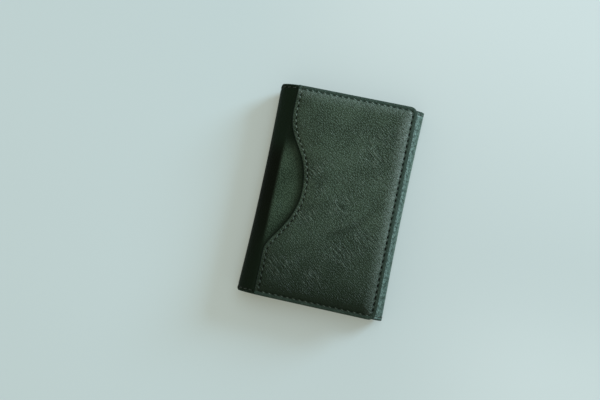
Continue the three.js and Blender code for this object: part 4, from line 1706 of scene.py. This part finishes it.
@dataclass(kw_only=True)
class Page:
    """What the sewn pages inside the wallet share."""

    body: Body
    finishes: Wardrobe
    edge: float = 0.2  # radius of the cut edges
    corner: float = 3.0  # radius of the sewn corners
    mouth_corner: float = 1.0  # radius of the corners beside a mouth
    inset: float = 0.9  # distance of the seam from the sewn edges
    seam_start: float = 1.0  # distance of its ends from the side without a seam
    corner_points: int = 16  # points on each corner of the seam
    crease_inset: float = 1.3  # distance of the pressed line from a mouth
    crease_depth: float = 0.1
    crease_width: float = 0.3  # half width of that line
    crease_fade: float = 0.6  # distance past the seams over which it starts
    step: float = 0.6  # size of the grids' cells
    sewing: Stitching = Stitching(pitch=10.0 / 3.0, radius=0.22, groove=0.08, pit=0.16, sink=0.3)

    def seam(self, start: float, top: float, end: float) -> Array:
        """Seam along the top, the closed side and the bottom.

        Args:
            start: Where the side without a seam lies.
            top: Y of the top edge, which is as far from Y = 0 as the bottom edge.
            end: Where the closed side lies.

        Returns:
            Points of the outline moved in by the inset, with rounded corners.
        """
        radius = self.corner - self.inset
        return rounded_seam(start + self.seam_start, top - self.inset, end - self.inset, radius,
                            self.corner_points)

    def pressed(self, from_mouth: Array, from_side: Array) -> Array:
        """Depth of the line pressed beside a mouth: a bell across it, which fades at the seams."""
        bell = np.exp(-(((from_mouth - self.crease_inset) / self.crease_width) ** 2))
        return self.crease_depth * bell * rise(from_side, self.inset, self.crease_fade)

    def write(self, node: str, form: SheetForm, dip: Array, holes: Array) -> None:
        """Writes one sheet of the page.

        Args:
            node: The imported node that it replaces.
            form: Its grid.
            dip: Depth of its furrows, as a grid.
            holes: Stitch holes, as lengths along the sheet and Y.
        """
        low, high = node_box(node)
        mark = self.sewing.marks(form.s, form.y, holes)
        drop = quarter_round(form.edge, self.edge)
        outer = -drop - dip - self.sewing.pit * mark
        surface = form.surface(outer, drop - (high[2] - low[2]), {HOLE_VALUE: mark})
        piece = surface.write(f"page_{node}", self.finishes.inner)
        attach(piece, self.body.value)
        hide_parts(node)

    def sew(self, holes: Array, base: Array, place: Callable[..., Array]) -> None:
        """Stitches of the page's seam.

        Args:
            holes: Holes of the seam.
            base: Height of the sheet under each stitch.
            place: Puts the holes' places and heights into the frame.
        """
        threads = self.sewing.surface(holes[:-1], holes[1:], base, place)
        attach(threads.write(f"seam_page_{self.body.value}", self.finishes.thread), self.body.value)


@dataclass(kw_only=True)
class CardPage(Page):
    """A page of stepped card slots on a panel, sewn round three sides."""

    facing: Facing  # the way that its slots look at rest
    slots: int = 3

    def shown_level(self, node: str) -> float:
        """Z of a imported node's shown face."""
        low, high = node_box(node)
        return float(high[2] if self.facing is Facing.UP else low[2])

    def sheet(self, node: str, holes: Array, mouth: bool) -> None:
        """One panel or slot of the page.

        Args:
            node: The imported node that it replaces.
            holes: Holes of the page's seam, as X and Y.
            mouth: Whether its top edge is the mouth of a slot.
        """
        low, high = node_box(node)
        line = level_line(low[0], high[0], self.shown_level(node), self.facing)
        width, height = high[0] - low[0], high[1] - low[1]
        length = graded(0.0, width, self.step, self.edge)
        across = graded(0.0, 1.0, self.step / height, self.edge / height)
        s = np.broadcast_to(length[:, None], (len(length), len(across)))
        end = np.minimum(length, width - length)[:, None]
        top_corner = self.mouth_corner if mouth else self.corner
        bottom = low[1] + quarter_round(end, self.corner)
        top = high[1] - quarter_round(end, top_corner)
        y = bottom + (top - bottom) * across
        lower = corner_distance(end, y - low[1], self.corner)
        upper = corner_distance(end, high[1] - y, top_corner)
        form = SheetForm(line.place, s, y, np.maximum(np.minimum(lower, upper), 0.0))
        free = s if self.facing is Facing.UP else width - s
        sewn = corner_distance(free, y - low[1], self.corner)
        if mouth:
            dip = np.maximum(self.sewing.furrow(sewn, self.inset), self.pressed(high[1] - y, end))
        else:
            sewn = np.minimum(sewn, corner_distance(free, high[1] - y, self.corner))
            dip = self.sewing.furrow(sewn, self.inset)
        on_sheet = np.stack([np.abs(holes[:, 0] - line.points[0, 0]), holes[:, 1]], axis=1)
        self.write(node, form, dip, on_sheet)

    def build(self) -> None:
        """Builds the panel, its slots and the seam over them, which steps down where each slot ends."""
        panel = f"{self.body.value}_panel"
        slots = [f"{self.body.value}_slot_{number}" for number in range(1, self.slots + 1)]
        low, high = node_box(panel)
        holes = self.sewing.holes(self.seam(low[0], high[1], high[0])[::-1])
        self.sheet(panel, holes, False)
        middle_y = (holes[:-1, 1] + holes[1:, 1]) / 2.0
        level = np.full(len(middle_y), self.shown_level(panel))
        for slot in slots:
            self.sheet(slot, holes, True)
            _, slot_high = node_box(slot)
            level = np.where(middle_y < slot_high[1], self.shown_level(slot), level)
        sign = self.facing.value

        def place(x: Array, y: Array, height: Array) -> Array:
            """X, Y and height over the page as a place, with the height turned where the page looks down."""
            return np.stack([x, y, sign * height], axis=-1)

        self.sew(holes, sign * level - self.sewing.groove, place)


@dataclass(kw_only=True)
class FlapPage(Page):
    """The flat pocket inside the flap, open towards the flap's free edge."""

    body: Body = Body.FLAP
    node: str = "flap_pocket"

    def build(self) -> None:
        """Builds the pocket and the seam along its top, its fold side and its bottom."""
        low, high = node_box(self.node)
        line = level_line(low[0], high[0], low[2], Facing.DOWN)
        width, half = high[0] - low[0], (high[1] - low[1]) / 2.0
        length = graded(0.0, width, self.step, self.edge)
        across = graded(-1.0, 1.0, self.step / half, self.edge / half)
        s = np.broadcast_to(length[:, None], (len(length), len(across)))
        cut = quarter_round(length, self.mouth_corner)
        cut = np.maximum(cut, quarter_round(width - length, self.corner))
        y = (half - cut)[:, None] * across
        side = half - np.abs(y)
        sewn = corner_distance(width - s, side, self.corner)
        outline = np.minimum(sewn, corner_distance(s, side, self.mouth_corner))
        form = SheetForm(line.place, s, y, np.maximum(outline, 0.0))
        holes = self.sewing.holes(self.seam(0.0, half, width))
        dip = np.maximum(self.sewing.furrow(sewn, self.inset), self.pressed(s, side))
        self.write(self.node, form, dip, holes)
        self.sew(holes, np.full(len(holes) - 1, -self.sewing.groove), line.place)


@dataclass(frozen=True)
class SoftBox:
    """One square soft lamp."""

    name: str
    azimuth: float  # from X towards Y, in degrees
    elevation: float  # over the table, in degrees
    distance: float  # from the wallet, in metres
    size: float  # side, in metres
    power: float  # in watts
    colour: Colour

    def build(self) -> None:
        """Hangs the lamp and points it at the wallet."""
        light = bpy.data.lights.new(self.name, "AREA")
        light.shape = "SQUARE"
        light.size = self.size
        light.energy = self.power
        light.color = self.colour
        lamp = bpy.data.objects.new(self.name, light)
        link(lamp)
        turn, tilt = math.radians(self.azimuth), math.radians(self.elevation)
        level = math.cos(tilt)
        back = Vector((math.cos(turn) * level, math.sin(turn) * level, math.sin(tilt)))
        lamp.location = back * self.distance
        lamp.rotation_euler = (-back).to_track_quat("-Z", "Y").to_euler()


@dataclass(frozen=True)
class PaleTable:
    """The table under the wallet, in a pale, slightly clouded finish.

    What the camera sees is a share of the lamps' light, plus a glow that keeps the shade pale: a painted fill
    in the shade, warmer on the left than on the right.
    Places towards the upper and the lower right are painted paler, as painted light. Places and sizes are in
    metres.
    """

    colour: Colour = (0.62, 0.712, 0.755)  # colour that lights the wallet from below
    seen: tuple[Colour, Colour] = ((0.418, 0.552, 0.65), (0.352, 0.445, 0.512))  # left and right
    glow: tuple[Colour, Colour] = ((0.15, 0.126, 0.07), (0.19, 0.195, 0.155))  # painted fill in the shade, left and right
    size: float = 4.0  # of a side
    points: int = 9  # along a side
    drop: float = 0.2  # below the wallet, in millimetres

    def material(self) -> bpy.types.Material:
        """Builds the table's material, which looks paler to the camera than it lights the wallet."""
        sides, roughness, specular = (-0.08, 0.02), 0.9, 0.1
        # Painted light: the right side paler towards the top, and the far right paler towards the bottom
        upper_y, upper_lift = (-0.04, 0.14), (0.01, 0.16)
        lower_y, lower_lift, lower_x = (0.0, -0.07), (0.0, 0.11), (0.03, 0.12)
        cloud_scale, cloud_share, lifted = 3.0, 0.015, (0.9, 1.0, 1.1)
        material, nodes, shader = new_material("pale_table")
        place = nodes.add("ShaderNodeTexCoord").outputs["Object"]
        cloud = nodes.spread(nodes.noise(place, cloud_scale), NOISE_LOW, NOISE_HIGH)
        rays = nodes.add("ShaderNodeLightPath").outputs
        looking = nodes.maths("MAXIMUM", rays["Is Camera Ray"], rays["Is Glossy Ray"])
        looking = nodes.maths("MAXIMUM", looking, rays["Is Transmission Ray"])
        x, y, _ = nodes.parts(place)
        right = nodes.spread(x, *sides)
        lit, glow = (nodes.mix(right, *map(opaque, tones)) for tones in (self.seen, self.glow))
        upper = nodes.product(nodes.spread(y, *upper_y, *upper_lift), right)
        lower = nodes.product(nodes.spread(y, *lower_y, *lower_lift), nodes.spread(x, *lower_x))
        lit = nodes.mix(nodes.maths("ADD", upper, lower), lit, opaque(lifted))
        colour = nodes.mix(looking, opaque(self.colour), lit)
        nodes.join(shader, {
            "Base Color": nodes.mix(nodes.product(cloud, cloud_share), colour, opaque((0.0, 0.0, 0.0))),
            "Emission Color": glow,
            "Emission Strength": looking,
            "Roughness": roughness,
            "Specular IOR Level": specular,
        })
        return material

    def build(self) -> None:
        """Lays the table as one level grid of quads."""
        along = np.linspace(-self.size / 2.0, self.size / 2.0, self.points)
        x, y = np.meshgrid(along, along, indexing="ij")
        places = np.stack([x, y, np.full(x.shape, -self.drop * MM)], axis=-1).reshape(-1, 3)
        mesh = bpy.data.meshes.new("table")
        mesh.from_pydata(places.tolist(), [], grid_quads(self.points, self.points).tolist())
        mesh.materials.append(self.material())
        table = bpy.data.objects.new("table", mesh)
        link(table)


@dataclass(frozen=True)
class Studio:
    """Table, soft light and the camera."""

    table: PaleTable = PaleTable()
    lamps: tuple[SoftBox, ...] = (
        SoftBox("window", azimuth=40.0, elevation=19.0, distance=2.6, size=0.9, power=68.0,
                colour=(0.77, 0.95, 1.03)),
        SoftBox("ceiling", azimuth=70.0, elevation=66.0, distance=2.6, size=2.0, power=16.0,
                colour=(0.94, 1.0, 1.02)),
    )
    world: Colour = (1.0, 0.965, 0.79)  # light from all round
    world_strength: float = 0.5
    camera_place: Triple = (12.949, -24.582, 363.462)  # in millimetres
    camera_turn: Triple = (0.2079, 0.0762, 0.0654)  # about Z, then its own X, then its own Y, in radians
    lens: float = 42.0  # in millimetres, like the sensor's width
    sensor: float = 36.0
    nearest: float = 0.01  # least distance that the camera sees, in metres

    def build(self) -> None:
        """Builds the table, the light and the camera."""
        self.table.build()
        for lamp in self.lamps:
            lamp.build()
        world = bpy.data.worlds.new("studio")
        world.use_nodes = True
        background = next(node for node in world.node_tree.nodes if node.type == "BACKGROUND")
        background.inputs["Color"].default_value = opaque(self.world)
        background.inputs["Strength"].default_value = self.world_strength
        bpy.context.scene.world = world
        bpy.context.scene.view_settings.view_transform = "Standard"
        self.set_camera()

    def set_camera(self) -> None:
        """Places the camera by its turns, one after the other."""
        camera = bpy.data.objects.new("camera", bpy.data.cameras.new("camera"))
        camera.data.lens = self.lens
        camera.data.sensor_width = self.sensor
        camera.data.clip_start = self.nearest
        turn = Matrix.Identity(4)
        for angle, axis in zip(self.camera_turn, "ZXY"):
            turn = turn @ Matrix.Rotation(angle, 4, axis)
        camera.matrix_world = Matrix.Translation(Vector(self.camera_place) * MM) @ turn
        link(camera)
        bpy.context.scene.camera = camera


def main() -> None:
    """Builds the wallet's sub-assemblies in order, with the studio round it."""
    logging.basicConfig(level=logging.INFO, format="%(message)s")
    Studio().build()
    finishes = Wardrobe()
    wrap = Wrap()
    mouth = WaveMouth()
    Shell(wrap, mouth, finishes).build()
    Lining(wrap, finishes).build()
    WavePocket(wrap, mouth, finishes).build()
    CardPage(body=Body.BACK, facing=Facing.UP, finishes=finishes).build()
    CardPage(body=Body.FRONT, facing=Facing.DOWN, finishes=finishes).build()
    FlapPage(finishes=finishes).build()


if __name__ == "__main__":
    main()
